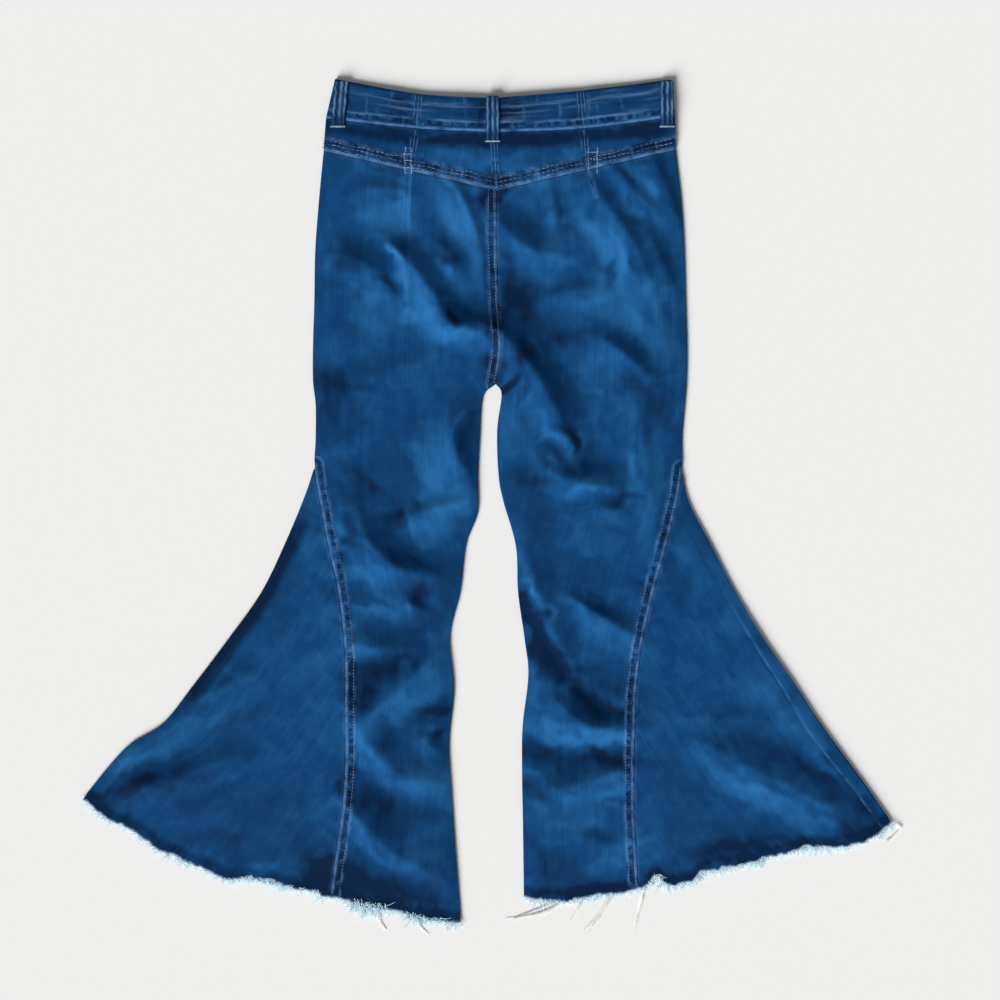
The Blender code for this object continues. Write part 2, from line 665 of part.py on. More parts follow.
def even_points(line, count):
    """Points at even steps along a polyline."""
    lengths = [math.dist(a, b) for a, b in zip(line, line[1:])]
    points = []
    for step in range(count + 1):
        goal, index = sum(lengths) * step / count, 0
        while goal > lengths[index] and index < len(lengths) - 1:
            goal -= lengths[index]
            index += 1
        points.append(between(line[index], line[index + 1], min(goal / lengths[index], 1)))
    return points


def fringe(name, hem, underside, locks, floor, loose=()):
    """A narrow strip beside the raw hem and a tapering lock of warp ends on each of its cells."""
    chance = random.Random(SEED + locks.count)
    line = even_points(hem, locks.count)
    inner, outer = offset_line(line, FRINGE_GAP), offset_line(line, FRINGE_GAP + FRINGE_STRIP)
    heights = [underside(*point) for point in line]
    mesh = bmesh.new()
    posts = [[mesh.verts.new((*edge[index], heights[index] + up))
              for edge, up in ((inner, 0), (inner, DENIM), (outer, DENIM), (outer, 0))]
             for index in range(locks.count + 1)]
    mesh.faces.new(posts[0])
    mesh.faces.new(posts[-1])
    loose_cells = {round(thread.share * locks.count): thread for thread in loose}
    for index, (near, far) in enumerate(zip(posts, posts[1:])):
        for side, after in ((0, 1), (1, 2), (3, 0)):
            mesh.faces.new((near[side], far[side], far[after], near[after]))
        root = (near[2], far[2], far[3], near[3])
        out = ((outer[index] + outer[index + 1]) - (inner[index] + inner[index + 1])).normalized()
        along = (outer[index + 1] - outer[index]).normalized()
        reach = (out * chance.uniform(locks.shortest, locks.longest)
                 + along * chance.uniform(-locks.lean, locks.lean))
        stages = LOCK_STAGES
        if index in loose_cells:
            thread = loose_cells[index]
            reach = Vector((thread.across, -thread.down))
            stages = THREAD_STAGES
        lock(mesh, root, reach, stages, floor)
    return new_object(name, mesh, FRINGE)


def lock(mesh, root, reach, stages, floor):
    """One tapering lock, grown from the four corners of its root."""
    corners = [vert.co.copy() for vert in root]
    middle = sum(corners, Vector()) / 4
    ring = list(root)
    for share, width in stages:
        sag = min(0.5 * share, middle.z - DENIM / 2 - floor)
        centre = middle + Vector((*(reach * share), -sag))
        tip = []
        for corner in corners:
            spread = (corner - middle) * width
            spread.z = (corner.z - middle.z) * (1 - 0.5 * share)
            tip.append(mesh.verts.new(centre + spread))
        for index in range(4):
            after = (index + 1) % 4
            mesh.faces.new((ring[index], ring[after], tip[after], tip[index]))
        ring = tip
    mesh.faces.new(ring)


def build():
    back_waist = waist_and_yoke()
    back_hems = {side: back_leg(side) for side in LEGS}
    front_waistbands()
    fronts = {side: front_leg(side) for side in LEGS}
    zip_fastening([made for made, _ in fronts.values()])
    button()
    for loop in BACK_LOOPS:
        belt_loop(loop, back_waist)
    for name, x in FRONT_LOOPS.items():
        front_loop(name, x)
    for side in LEGS:
        loose = LOOSE_THREADS if side == "right" else ()
        fringe(f"fringe_back_{side}", back_hems[side], back_underside, BACK_LOCKS,
               DENIM + LAYER_GAP, loose)
        fringe(f"fringe_front_{side}", fronts[side][1], front_lift, FRONT_LOCKS, 0)


for old in list(bpy.data.objects):
    bpy.data.objects.remove(old, do_unlink=True)
GARMENT = bpy.data.collections.new("flared jeans")
bpy.context.scene.collection.children.link(GARMENT)
CLOTH = new_material("denim", (0.012, 0.085, 0.25), 0.85)
BAND_CLOTH = new_material("dark denim", (0.008, 0.055, 0.17), 0.85)
FRINGE = new_material("frayed warp", (0.30, 0.42, 0.58), 0.95)
METAL = new_material("aged copper", (0.45, 0.25, 0.14), 0.4, 1.0)
TAPE = new_material("navy zip tape", (0.01, 0.02, 0.06), 0.8)
build()
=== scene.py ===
import json
import math

import bmesh
import bpy
import numpy as np
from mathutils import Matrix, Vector
from mathutils.bvhtree import BVHTree

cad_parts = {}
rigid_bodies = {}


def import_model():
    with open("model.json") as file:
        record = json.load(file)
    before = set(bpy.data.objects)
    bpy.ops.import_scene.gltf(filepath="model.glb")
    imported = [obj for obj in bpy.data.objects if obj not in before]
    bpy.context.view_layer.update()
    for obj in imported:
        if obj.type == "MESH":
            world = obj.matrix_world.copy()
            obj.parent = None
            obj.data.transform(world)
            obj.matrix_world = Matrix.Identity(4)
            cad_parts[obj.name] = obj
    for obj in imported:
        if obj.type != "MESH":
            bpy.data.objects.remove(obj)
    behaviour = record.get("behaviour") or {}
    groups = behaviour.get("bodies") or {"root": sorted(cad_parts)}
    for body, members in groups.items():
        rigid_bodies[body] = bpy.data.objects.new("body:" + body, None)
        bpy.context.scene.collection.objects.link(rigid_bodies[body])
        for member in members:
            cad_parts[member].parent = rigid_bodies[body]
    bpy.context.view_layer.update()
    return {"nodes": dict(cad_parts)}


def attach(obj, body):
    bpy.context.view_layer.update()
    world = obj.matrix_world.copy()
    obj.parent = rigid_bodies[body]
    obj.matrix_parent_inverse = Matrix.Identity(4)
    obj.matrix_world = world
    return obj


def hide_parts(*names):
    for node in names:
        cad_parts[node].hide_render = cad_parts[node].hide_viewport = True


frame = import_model()
print("frame loaded:", len(frame["nodes"]), "nodes")

mm = 0.001
left, right = "left", "right"

# Tables are in millimetres; +Y runs to the waist and the back side is up.

view = {"centreX": 15.2, "centreY": 5.6, "width": 1125.0, "distance": 2200.0}
light = {
    "keyFrom": (-0.46, -0.76, 0.46),      # low, from beyond the left hem
    "keyStrength": 5.4,
    "keyColor": (1.0, 0.985, 0.96),
    "keyAngle": 33.0,
    "fill": 0.22,
    "fillColor": (0.93, 0.96, 1.0),
    "floorColor": (0.86, 0.86, 0.86),
}


def addObject(name, data):
    made = bpy.data.objects.new(name, data)
    bpy.context.scene.collection.objects.link(made)
    return made


def addCamera():
    data = bpy.data.cameras.new("camera")
    data.angle = 2 * math.atan(view["width"] / 2 / view["distance"])
    camera = addObject("camera", data)
    camera.location = [view[key] * mm for key in ("centreX", "centreY", "distance")]
    bpy.context.scene.camera = camera


def addLight():
    data = bpy.data.lights.new("key", "SUN")
    data.energy = light["keyStrength"]
    data.color = light["keyColor"]
    data.angle = math.radians(light["keyAngle"])
    key = addObject("key", data)
    key.rotation_euler = Vector(light["keyFrom"]).to_track_quat("Z", "Y").to_euler()
    world = bpy.data.worlds.new("studio")
    world.use_nodes = True
    background = world.node_tree.nodes["Background"]
    background.inputs["Color"].default_value = (*light["fillColor"], 1)
    background.inputs["Strength"].default_value = light["fill"]
    bpy.context.scene.world = world
    bpy.context.scene.view_settings.view_transform = "Standard"


addCamera()
addLight()
print("camera and light set")

cloth = {
    "denim": 1.2,               # one ply
    "band": 2.2,                # the doubled waistband
    "layerGap": 0.3,
    "cell": 2.6,                # size of a mesh cell on the back
    "yokeCell": 2.2,
    "bandCell": 2.0,
    "frontCell": 8.0,
    "puff": 3.2,                # fullness of the upper layer away from its edges
    "puffEase": 0.6,
    "sideRoll": 30.0,
    "endRoll": 45.0,
    "endLift": 0.25,
    "edgeRound": (1.9, 0.35),   # radius, share of the thickness at the very edge
    "waistRound": (1.6, 0.45),
    "waistGroove": {"inside": 7.5, "half": 1.2, "depth": 0.25},
    "steepest": 0.6,            # least cosine of a slope that the wall is thickened for
    "thickest": 1.5,            # the most that it's thickened by
    "waistCorner": 5.0,
    "sharpAngle": 55.0,
    "fullness": 1.015,          # a panel's cut over its size as it lies, for its folds
}

waist = (                       # top edge, waistband seam, yoke seam
    ((-170, 478.5), (-180, 434), (-183, 398)),
    ((-76, 461.5), (-79, 423), (-86.5, 375.5)),
    ((6, 456.5), (8, 418), (11, 353)),
    ((105, 465), (109, 423), (112.5, 376)),
    ((208.5, 478), (211.5, 436), (212.5, 399)),
)
centreSeam = ((11, 353), (11, 305), (12, 260), (14, 215), (16, 175), (10.5, 136))
legs = {                        # outer edge, side or godet seam, inseam; the fork is the sixth row
    left: (
        ((-183, 398), (-183, 398), centreSeam[0]),
        ((-188.5, 340), (-188.5, 340), centreSeam[1]),
        ((-192.5, 285), (-192.5, 285), centreSeam[2]),
        ((-193.5, 230), (-193.5, 230), centreSeam[3]),
        ((-195, 180), (-195, 180), centreSeam[4]),
        ((-195, 140), (-195, 140), centreSeam[5]),
        ((-192, 112), (-192, 112), (-4, 121)),
        ((-192, 76), (-192, 76), (-7.5, 76)),
        ((-193, 44), (-193, 44), (-9.5, 34)),
        ((-203.5, 12), (-188, 10), (-10, -9)),
        ((-225, -40), (-178, -42), (-23, -45)),
        ((-253, -98), (-166, -98), (-29.5, -98)),
        ((-290.5, -151), (-159, -160), (-41, -148)),
        ((-330.5, -204), (-158, -226), (-36.5, -206)),
        ((-364, -246), (-158, -282), (-42, -268)),
        ((-399, -268), (-160, -326), (-39, -326)),
        ((-423, -292), (-166, -374), (-35, -386)),
        ((-454, -330), (-175, -436), (-29, -465)),
    ),
    right: (
        ((212.5, 399), (212.5, 399), centreSeam[0]),
        ((219, 343), (219, 343), centreSeam[1]),
        ((222.5, 288), (222.5, 288), centreSeam[2]),
        ((224, 232), (224, 232), centreSeam[3]),
        ((225.5, 178), (225.5, 178), centreSeam[4]),
        ((225, 140), (225, 140), centreSeam[5]),
        ((223, 112), (223, 112), (17, 124)),
        ((220, 76), (220, 76), (12, 84)),
        ((219.5, 40), (219.5, 40), (13.5, 34)),
        ((228, 2), (213, 0), (19, 4)),
        ((252, -44), (201, -46), (33, -46)),
        ((280.5, -99), (187, -99), (35.5, -98)),
        ((312, -151), (175, -152), (43, -152)),
        ((345, -199), (168, -206), (47, -192)),
        ((373, -242), (166, -254), (40.5, -250)),
        ((399, -278), (165, -300), (40, -304)),
        ((427, -316), (166, -352), (41, -362)),
        ((455, -356), (170, -427), (42, -439)),
    ),
}
forkRow, godetRow = 5, 8
edgeColumn, seamColumn, innerColumn = 0, 1, 2
hemBow = {left: (26.0, 1.1), right: (9.0, 0.5)}
hems = {                        # the torn edge, which wanders about the cut one
    left: ((-454, -330), (-430, -349), (-399, -364), (-367, -387), (-336, -399), (-304, -416),
           (-289, -421), (-272, -417), (-240, -421), (-226, -427), (-194, -434), (-163, -443),
           (-131, -451), (-100, -457), (-68, -464), (-29, -468)),
    right: ((42, -440), (60, -443), (92, -444), (123, -438), (160, -434), (181, -428), (187, -420),
            (193, -416), (199, -423), (214, -426), (232, -421), (240, -413), (262, -408), (290, -403),
            (310, -396), (340, -389), (368, -382), (391, -383), (422, -379), (440, -369), (455, -356)),
}

frontWaist = {"centreX": 9.0, "top": 430.0, "seam": 388.0, "topRise": 48.0, "seamRise": 46.0,
              "rest": 2.3, "slider": 2.0, "lap": 15.0, "lapRamp": 14.0, "hemShort": 5.0,
              "edgeStart": 3.0, "edgeRamp": 15.0, "cells": (40, 9)}
plateaus = {                    # what the back lies on: middle, half width and height, ramp
    "waist": ((13.0, 432.0), (105.0, 60.0), 85.0),
    "lap": ((9.0, 409.0), (29.0, 26.0), 26.0),
    "fly": ((10.0, 317.0), (18.5, 66.0), 24.0),
}

# Folds: start, middle and end of the crest, width on its low left side, width on the other, height.
folds = {
    "left seat": ((-114, 300), (-76, 257), (-38, 201), 34, 24, 11.0),
    "left low seat": ((-58, 212), (-28, 198), (2, 190), 26, 22, 9.0),
    "left low hip": ((-172, 278), (-134, 268), (-100, 236), 26, 26, 8.5),
    "left high hip": ((-154, 346), (-120, 354), (-84, 344), 34, 22, 6.0),
    "left of centre seam": ((-46, 368), (-17, 318), (-4, 244), 28, 11, 7.0),
    "left mid seat": ((-68, 300), (-44, 282), (-24, 250), 16, 20, 6.5),
    "left outer thigh": ((-192, 56), (-170, 62), (-146, 84), 16, 20, 5.0),
    "left inner thigh": ((-42, 104), (-37, 64), (-16, 26), 34, 26, 9.0),
    "left knee": ((-104, -20), (-62, -6), (-12, 9), 30, 12, 5.0),
    "left outer knee": ((-146, -4), (-118, -58), (-62, -80), 30, 26, 12.5),
    "left knee hollow": ((-98, -92), (-86, -112), (-66, -120), 18, 13, 5.0),
    "left calf": ((-160, -152), (-130, -160), (-92, -160), 16, 24, 6.5),
    "left calf diagonal": ((-146, -246), (-106, -214), (-56, -166), 24, 36, 11.0),
    "left shin": ((-84, -262), (-64, -270), (-44, -286), 18, 16, 4.0),
    "left ankle": ((-156, -224), (-107, -294), (-40, -312), 24, 34, 9.0),
    "left hem": ((-157, -332), (-114, -382), (-44, -420), 18, 40, 9.0),
    "left godet hem": ((-446, -334), (-365, -309), (-278, -282), 22, 22, 7.0),
    "left godet": ((-420, -264), (-345, -226), (-262, -192), 34, 16, 6.0),
    "left godet low": ((-352, -352), (-325, -342), (-295, -328), 15, 13, 3.0),
    "right dart": ((130, 388), (166, 351), (196, 314), 16, 12, 4.5),
    "right side hip": ((182, 392), (206, 345), (225, 298), 18, 14, 5.5),
    "right low hip": ((178, 312), (195, 274), (212, 236), 14, 14, 4.5),
    "right seat": ((110, 362), (157, 303), (186, 242), 40, 24, 10.0),
    "right seat edge": ((180, 252), (194, 204), (208, 156), 32, 14, 2.5),
    "right of centre seam": ((12, 322), (46, 286), (94, 280), 30, 32, 10.5),
    "right high seat": ((68, 368), (79, 330), (96, 298), 15, 15, 5.0),
    "right mid seat": ((50, 222), (86, 236), (122, 242), 28, 13, 4.0),
    "right seat diagonal": ((-16, 208), (48, 156), (104, 40), 32, 32, 13.5),
    "right outer thigh": ((108, 192), (152, 170), (190, 130), 30, 22, 8.0),
    "right thigh": ((166, 124), (184, 10), (196, -72), 26, 15, 4.0),
    "right knee": ((58, 54), (92, 26), (160, 20), 20, 26, 10.5),
    "right low knee": ((84, -14), (118, -3), (160, -12), 16, 14, 4.0),
    "right inner knee": ((34, -34), (58, -106), (104, -190), 13, 30, 6.5),
    "right calf crease": ((98, -106), (126, -124), (168, -149), 30, 16, 8.0),
    "right upper calf": ((100, -186), (130, -212), (168, -222), 12, 18, 3.0),
    "right calf": ((60, -184), (102, -241), (170, -250), 30, 32, 11.0),
    "right ankle": ((56, -306), (92, -317), (162, -292), 28, 32, 11.5),
    "right hem": ((100, -368), (134, -380), (168, -372), 20, 16, 4.5),
    "right godet": ((232, -262), (320, -306), (418, -358), 38, 34, 9.0),
    "right godet high": ((196, -234), (250, -240), (302, -236), 16, 15, 2.0),
}
creases = {
    "left seat crease": ((-114, 292), (-92, 266), (-92, 196), 7, 5, 2.5),
    "left fork crease": ((-42, 80), (-26, 98), (-6, 120), 5, 5, 1.6),
    "right fork crease": ((16, 110), (28, 128), (42, 150), 5, 5, -2.5),
}
foldForm = {"uphill": (0.5, 0.866), "blunt": 3.5, "power": 1.6, "parts": 8, "reach": 1.3,
            "margin": 5.0, "ends": 0.14}         # share of half a wave cut off at both ends
ripples = ((0.55, 34, 1), (0.22, 13, 2))        # height, size, seed


def ease(share):
    share = np.clip(share, 0, 1)
    return share * share * (3 - 2 * share)


def curveAt(points, places, corner=-1):
    points = np.array(points, float)
    places = np.atleast_1d(np.array(places, float))
    last = len(points) - 1
    row = np.minimum(places.astype(int), last - 1)
    share = (places - row)[:, None]

    def slope(index, leaving):
        stopBefore = (index == 0) | ((index == corner) & leaving)
        stopAfter = (index == last) | ((index == corner) & (not leaving))
        before = np.where(stopBefore, index, index - 1)
        after = np.where(stopAfter, index, index + 1)
        return (points[after] - points[before]) / (after - before)[:, None]

    return ((2 * share ** 3 - 3 * share ** 2 + 1) * points[row]
            + (share ** 3 - 2 * share ** 2 + share) * slope(row, True)
            + (3 * share ** 2 - 2 * share ** 3) * points[row + 1]
            + (share ** 3 - share ** 2) * slope(row + 1, False))


def legPlaces(cell):
    seam = [row[seamColumn] for row in legs[left]]
    places = [np.array([0.0])]
    for row, (start, end) in enumerate(zip(seam, seam[1:])):
        count = max(1, round((start[1] - end[1]) / cell))
        places.append(row + np.arange(1, count + 1) / count)
    return np.concatenate(places)


def legLine(side, column, places):
    corner = forkRow if column == innerColumn else godetRow if column == edgeColumn else -1
    return curveAt([row[column] for row in legs[side]], places, corner)


def waistLine(name, places, corner=2):
    column = ("top", "band", "yoke").index(name)
    return curveAt([row[column] for row in waist], places, corner)


def alongWaist(count, first=0, last=4):
    return np.linspace(first, last, count)


def ontoLine(points, line):
    spans = line[1:] - line[:-1]
    away = points[:, None] - line[:-1]
    share = np.clip((away * spans).sum(-1) / np.maximum((spans ** 2).sum(-1), 1e-9), 0, 1)
    away = away - spans * share[..., None]
    gaps = np.hypot(away[..., 0], away[..., 1])
    part = gaps.argmin(1)
    rows = np.arange(len(part))
    return gaps[rows, part], part, share[rows, part], away[rows, part]


def nearest(points, line, batch=4000):
    lengths = np.hypot(*np.diff(line, axis=0).T)
    before = np.concatenate([[0], np.cumsum(lengths)[:-1]])
    found = [ontoLine(points[first:first + batch], line) for first in range(0, len(points), batch)]
    gap, part, share, _ = (np.concatenate(column) for column in zip(*found))
    return gap, before[part] + share * lengths[part]


def noiseAt(points, size, seed):
    chance = np.random.RandomState(seed)
    lattice = chance.uniform(-1, 1, (64, 64))
    place = points / size
    cell = np.floor(place).astype(int)
    share = ease(place - cell)
    x, y = cell[:, 0] % 64, cell[:, 1] % 64
    nextX, nextY = (x + 1) % 64, (y + 1) % 64
    low = lattice[x, y] * (1 - share[:, 0]) + lattice[nextX, y] * share[:, 0]
    high = lattice[x, nextY] * (1 - share[:, 0]) + lattice[nextX, nextY] * share[:, 0]
    return low * (1 - share[:, 1]) + high * share[:, 1]


finePlaces = legPlaces(6.0)
sideLines = [legLine(side, edgeColumn, finePlaces) for side in legs]
sideLines += [legLine(side, innerColumn, finePlaces[finePlaces >= forkRow]) for side in legs]
endLines = [waistLine("top", alongWaist(25), corner=-1)]
endLines += [np.array(legs[side][-1], float) for side in legs]


def foldsAt(points):
    total = np.zeros(len(points))
    t = np.linspace(0, 1, foldForm["parts"] + 1)[:, None]
    for start, through, end, lowSide, highSide, height in {**folds, **creases}.values():
        crest = ((1 - t) * (1 - 2 * t) * np.array(start) + 4 * t * (1 - t) * np.array(through)
                 + t * (2 * t - 1) * np.array(end))
        reach = foldForm["reach"] * max(lowSide, highSide) + foldForm["margin"]
        low, high = crest.min(0) - reach, crest.max(0) + reach
        near = np.where(((points > low) & (points < high)).all(1))[0]
        if not len(near):
            continue
        gap, part, share, away = ontoLine(points[near], crest)
        uphill = ease((away @ np.array(foldForm["uphill"]) / np.maximum(gap, 1e-6) + 1) / 2)
        width = lowSide + (highSide - lowSide) * uphill
        place = (part + share) / foldForm["parts"]
        fade = np.sin(math.pi * (foldForm["ends"] + (1 - 2 * foldForm["ends"]) * place))
        share = np.clip((np.hypot(gap, foldForm["blunt"]) - foldForm["blunt"]) / width, 0, 1)
        total[near] += height * fade * (1 - share) ** foldForm["power"]
    return total


def edgeDistance(points, lines):
    return np.min([nearest(points, line)[0] for line in lines], axis=0)


def plateau(points, name):
    centre, half, ramp = plateaus[name]
    beyond = np.maximum(np.abs(points - np.array(centre)) - half, 0)
    return 1 - ease(np.hypot(beyond[:, 0], beyond[:, 1]) / ramp)


def frontWaistLine(x):
    side = np.where(x < frontWaist["centreX"], waist[0][1][0], waist[-1][1][0])
    share = (x - frontWaist["centreX"]) / (side - frontWaist["centreX"])
    return (frontWaist["top"] + frontWaist["topRise"] * share ** 2,
            frontWaist["seam"] + frontWaist["seamRise"] * share ** 2)


def frontLift(points):
    return frontWaist["rest"] * plateau(points, "waist")


def frontTop(points):
    top, seam = frontWaistLine(points[:, 0])
    beyond = np.abs(points[:, 1] - (top + seam) / 2) - (top - seam) / 2
    band = 1 - ease((beyond - frontWaist["edgeStart"]) / frontWaist["edgeRamp"])
    return (frontLift(points) + cloth["denim"] + (cloth["band"] - cloth["denim"]) * band
            + (cloth["band"] + cloth["layerGap"]) * plateau(points, "lap")
            + (frontWaist["slider"] + cloth["layerGap"]) * plateau(points, "fly"))


def backUnderside(points):
    side = np.minimum(edgeDistance(points, sideLines) / cloth["sideRoll"], 1)
    end = ease(edgeDistance(points, endLines) / cloth["endRoll"])
    roll = (1 - (1 - side) ** 2) * (cloth["endLift"] + (1 - cloth["endLift"]) * end)
    ripple = sum(height * noiseAt(points, size, seed) for height, size, seed in ripples)
    full = (cloth["denim"] + cloth["layerGap"]
            + (cloth["puff"] + foldsAt(points) + ripple) * roll)
    resting = frontTop(points) + cloth["layerGap"]
    return (resting + full + np.hypot(resting - full, cloth["puffEase"])) / 2


# Raised band beside a seam: width, rise, pucker and its pitch, pale wear, narrowness, darkness.
seamKinds = {
    "godet": {"width": 11.0, "rise": 0.9, "pucker": 0.5, "pitch": 8.0, "wear": 1.0, "narrow": 0.8,
              "shade": 0.11},
    "yoke": {"width": 15.0, "rise": 0.9, "pucker": 0.55, "pitch": 8.0, "wear": 1.0, "narrow": 0.58,
             "shade": 0.24},
    "centre": {"width": 10.5, "rise": 0.9, "pucker": 0.45, "pitch": 7.0, "wear": 0.6, "narrow": 0.8,
               "shade": 0.10},
    "waistband": {"width": 0.0, "rise": 0.0, "pucker": 0.0, "pitch": 8.0, "wear": 0.95, "narrow": 0.8,
                  "shade": 0.0},
    "dart": {"width": 2.4, "rise": 0.5, "pucker": 0.3, "pitch": 6.0, "wear": 1.2, "narrow": 2.0,
             "shade": 0.0, "offset": 1.3},
}
godetPlaces = finePlaces[finePlaces >= godetRow]
darts = {                       # the ends of its line, how pale it is drawn
    "dart_left": (waist[1][1:], 0.0),
    "dart_right": (waist[3][1:], 0.0),
    "yoke_centre": (waist[2][1:], 0.0),
    "band_dart_left": (waist[1][:2], 0.0),
    "band_dart_right": (waist[3][:2], 0.0),
    "hip_dart_left": (((-87, 374), (-90, 312)), 1.3),
    "hip_dart_right": (((114, 375), (123, 346)), 0.7),
}
seams = {f"godet_{side}": {"kind": "godet", "line": legLine(side, seamColumn, godetPlaces)}
         for side in legs}
seams["centre"] = {"kind": "centre",
                   "line": legLine(left, innerColumn, finePlaces[finePlaces <= forkRow])}
seams["waistband"] = {"kind": "waistband", "line": waistLine("band", alongWaist(60))}
for side, first in ((left, 0), (right, 2)):
    seams[f"yoke_{side}"] = {"kind": "yoke", "bare": 0.6,
                             "line": waistLine("yoke", alongWaist(40, first, first + 2))}
for name, (ends, pale) in darts.items():
    seams[name] = {"kind": "dart", "free": pale > 0, "pale": pale, "line": np.array(ends, float)}
seamForm = {
    "far": 99.0, "freeGap": 9.0, "freeFrom": 0.4,            # a dart that runs out
    "bareMiddle": 2.0, "bareHalf": 22.0, "bareGap": 3.0,     # the yoke's tip
    "rows": (0.22, 0.84), "rowHalf": 1.1, "rowDepth": 0.28,
    "ditch": 0.55, "ditchHalf": 0.9, "paleHalf": 2.6,
    "edge": 3.0, "drag": 1.5, "dragFade": 12.0, "dragStart": 4.0,
}
sideSeamForm = {"bulgeAt": 330, "bulgeHalf": 80, "waveSize": 30, "waveSeed": 61, "darkFrom": 30,
                "darkRamp": 60, "endRamp": 50, "clearFrom": 130, "clearRamp": 90, "step": 0.5}


def bell(away, half, power=2):
    return np.exp(-(away / half) ** power)


def seamFields(points, panel):
    best = np.full(len(points), seamForm["far"])
    along, banded, rise, shade, pale = (np.zeros(len(points)) for _ in range(5))
    for name in panel["seams"]:
        seam = seams[name]
        kind = seamKinds[seam["kind"]]
        distance, place = nearest(points, seam["line"])
        carries = name in panel["bands"]
        bare = seam.get("bare", 0) * bell(points[:, 0] - seamForm["bareMiddle"],
                                          seamForm["bareHalf"], 4)
        gap = distance * kind["narrow"] + kind.get("offset", 0)
        gap += seamForm["bareGap"] * bare * (1 - carries)
        if seam.get("free"):
            start = seamForm["freeFrom"]
            gap += seamForm["freeGap"] * ease((place / place.max() - start) / (1 - start))
        closer = gap < best
        best = np.where(closer, gap, best)
        along = np.where(closer, place, along)
        banded = np.where(closer, carries * kind["wear"] * (1 - bare), banded)
        # puckers along the stitched band, and drag lines that run off it at a slant
        strip = np.stack([place, 0.25 * distance], 1)
        wave = 1.5 * noiseAt(strip, 0.62 * kind["pitch"], 5) + 0.7 * noiseAt(strip, 15, 6)
        drag = noiseAt(np.stack([place + distance * 0.5, 0.16 * distance], 1), kind["pitch"], 7)
        rise += (kind["pucker"] * seamForm["drag"] * drag * np.exp(-distance / seamForm["dragFade"])
                 * ease(distance / seamForm["dragStart"]))
        if carries and kind["width"]:
            width = kind["width"]
            edge = seamForm["edge"]
            body = 1 - ease((distance - width + edge / 2) / edge)
            rows = sum(bell(distance - row * width, seamForm["rowHalf"]) for row in seamForm["rows"])
            rise += (kind["rise"] + kind["pucker"] * wave - seamForm["rowDepth"] * rows) * body
            shade = np.maximum(shade, kind["shade"] * (1 - ease((distance - width + 2) / edge)))
        rise -= seamForm["ditch"] * bell(distance, seamForm["ditchHalf"])
        pale += seam.get("pale", 0) * bell(distance, seamForm["paleHalf"])
    return {"gap": best, "along": along, "band": banded, "rise": rise, "shade": shade - pale}


def godetSideSeam(points, panel):
    line, form = panel["sideSeam"]
    form = {**sideSeamForm, **form}
    distance, along = nearest(points, line)
    inside = form["inside"] + form["bulge"] * bell(along - form["bulgeAt"], form["bulgeHalf"])
    inside += form["wander"] * noiseAt(np.stack([along, along * 0], 1), form["waveSize"],
                                       form["waveSeed"])
    ridge = distance - inside
    # strip: painted shadow along the rolled outer edge, handed to the colour as tone
    strip = form["dark"] * (1 - ease((ridge + 2) / form["soft"]))
    strip *= ease((along - form["darkFrom"]) / form["darkRamp"])
    strip *= 1 - ease((along - form["darkEnd"]) / form["endRamp"])
    return ridge, form["clear"] * ease((along - form["clearFrom"]) / form["clearRamp"]), strip


fallInset = 0.05                # how far the front's top stays below the back's underside


def rounded(distance, radius, start):
    share = np.clip(distance / radius, 0, 1)
    return start + (1 - start) * np.sqrt(1 - (1 - share) ** 2)


def surfaceHeights(points, panel):
    if panel["layer"] == "front":
        beyond = points[:, 0] - frontWaist["centreX"] - frontWaist["lap"] - 1
        lapped = (cloth["band"] + cloth["layerGap"]) * (1 - ease(beyond / frontWaist["lapRamp"]))
        under = frontLift(points) + lapped * panel.get("lapped", False)
        return under, under + panel["ply"] - fallInset
    under = backUnderside(points)
    rounding = rounded(edgeDistance(points, sideLines), *cloth["edgeRound"])
    rise = seamFields(points, panel)["rise"]
    if "sideSeam" in panel:
        ridge, shown, _ = godetSideSeam(points, panel)
        rise = rise + sideSeamForm["step"] * (1 - ease((ridge + 1) / 2.5) - bell(ridge, 1.0)) * shown
    if "waistEdge" in panel:
        edge, groove = nearest(points, endLines[0])[0], cloth["waistGroove"]
        rounding = rounding * rounded(edge, *cloth["waistRound"])
        rise = rise - groove["depth"] * bell(edge - groove["inside"], groove["half"])
    return under, under + (panel["ply"] + rise) * rounding


def lengthsAcross(grid, axis):
    steps = np.diff(grid, axis=axis)
    total = np.cumsum(np.hypot(steps[..., 0], steps[..., 1]), axis=axis)
    first = np.zeros_like(total.take([0], axis=axis))
    return np.concatenate([first, total], axis=axis)


def addAttribute(mesh, name, values):
    attribute = mesh.attributes.new(name, "FLOAT", "POINT")
    attribute.data.foreach_set("value", np.asarray(values, np.float32))


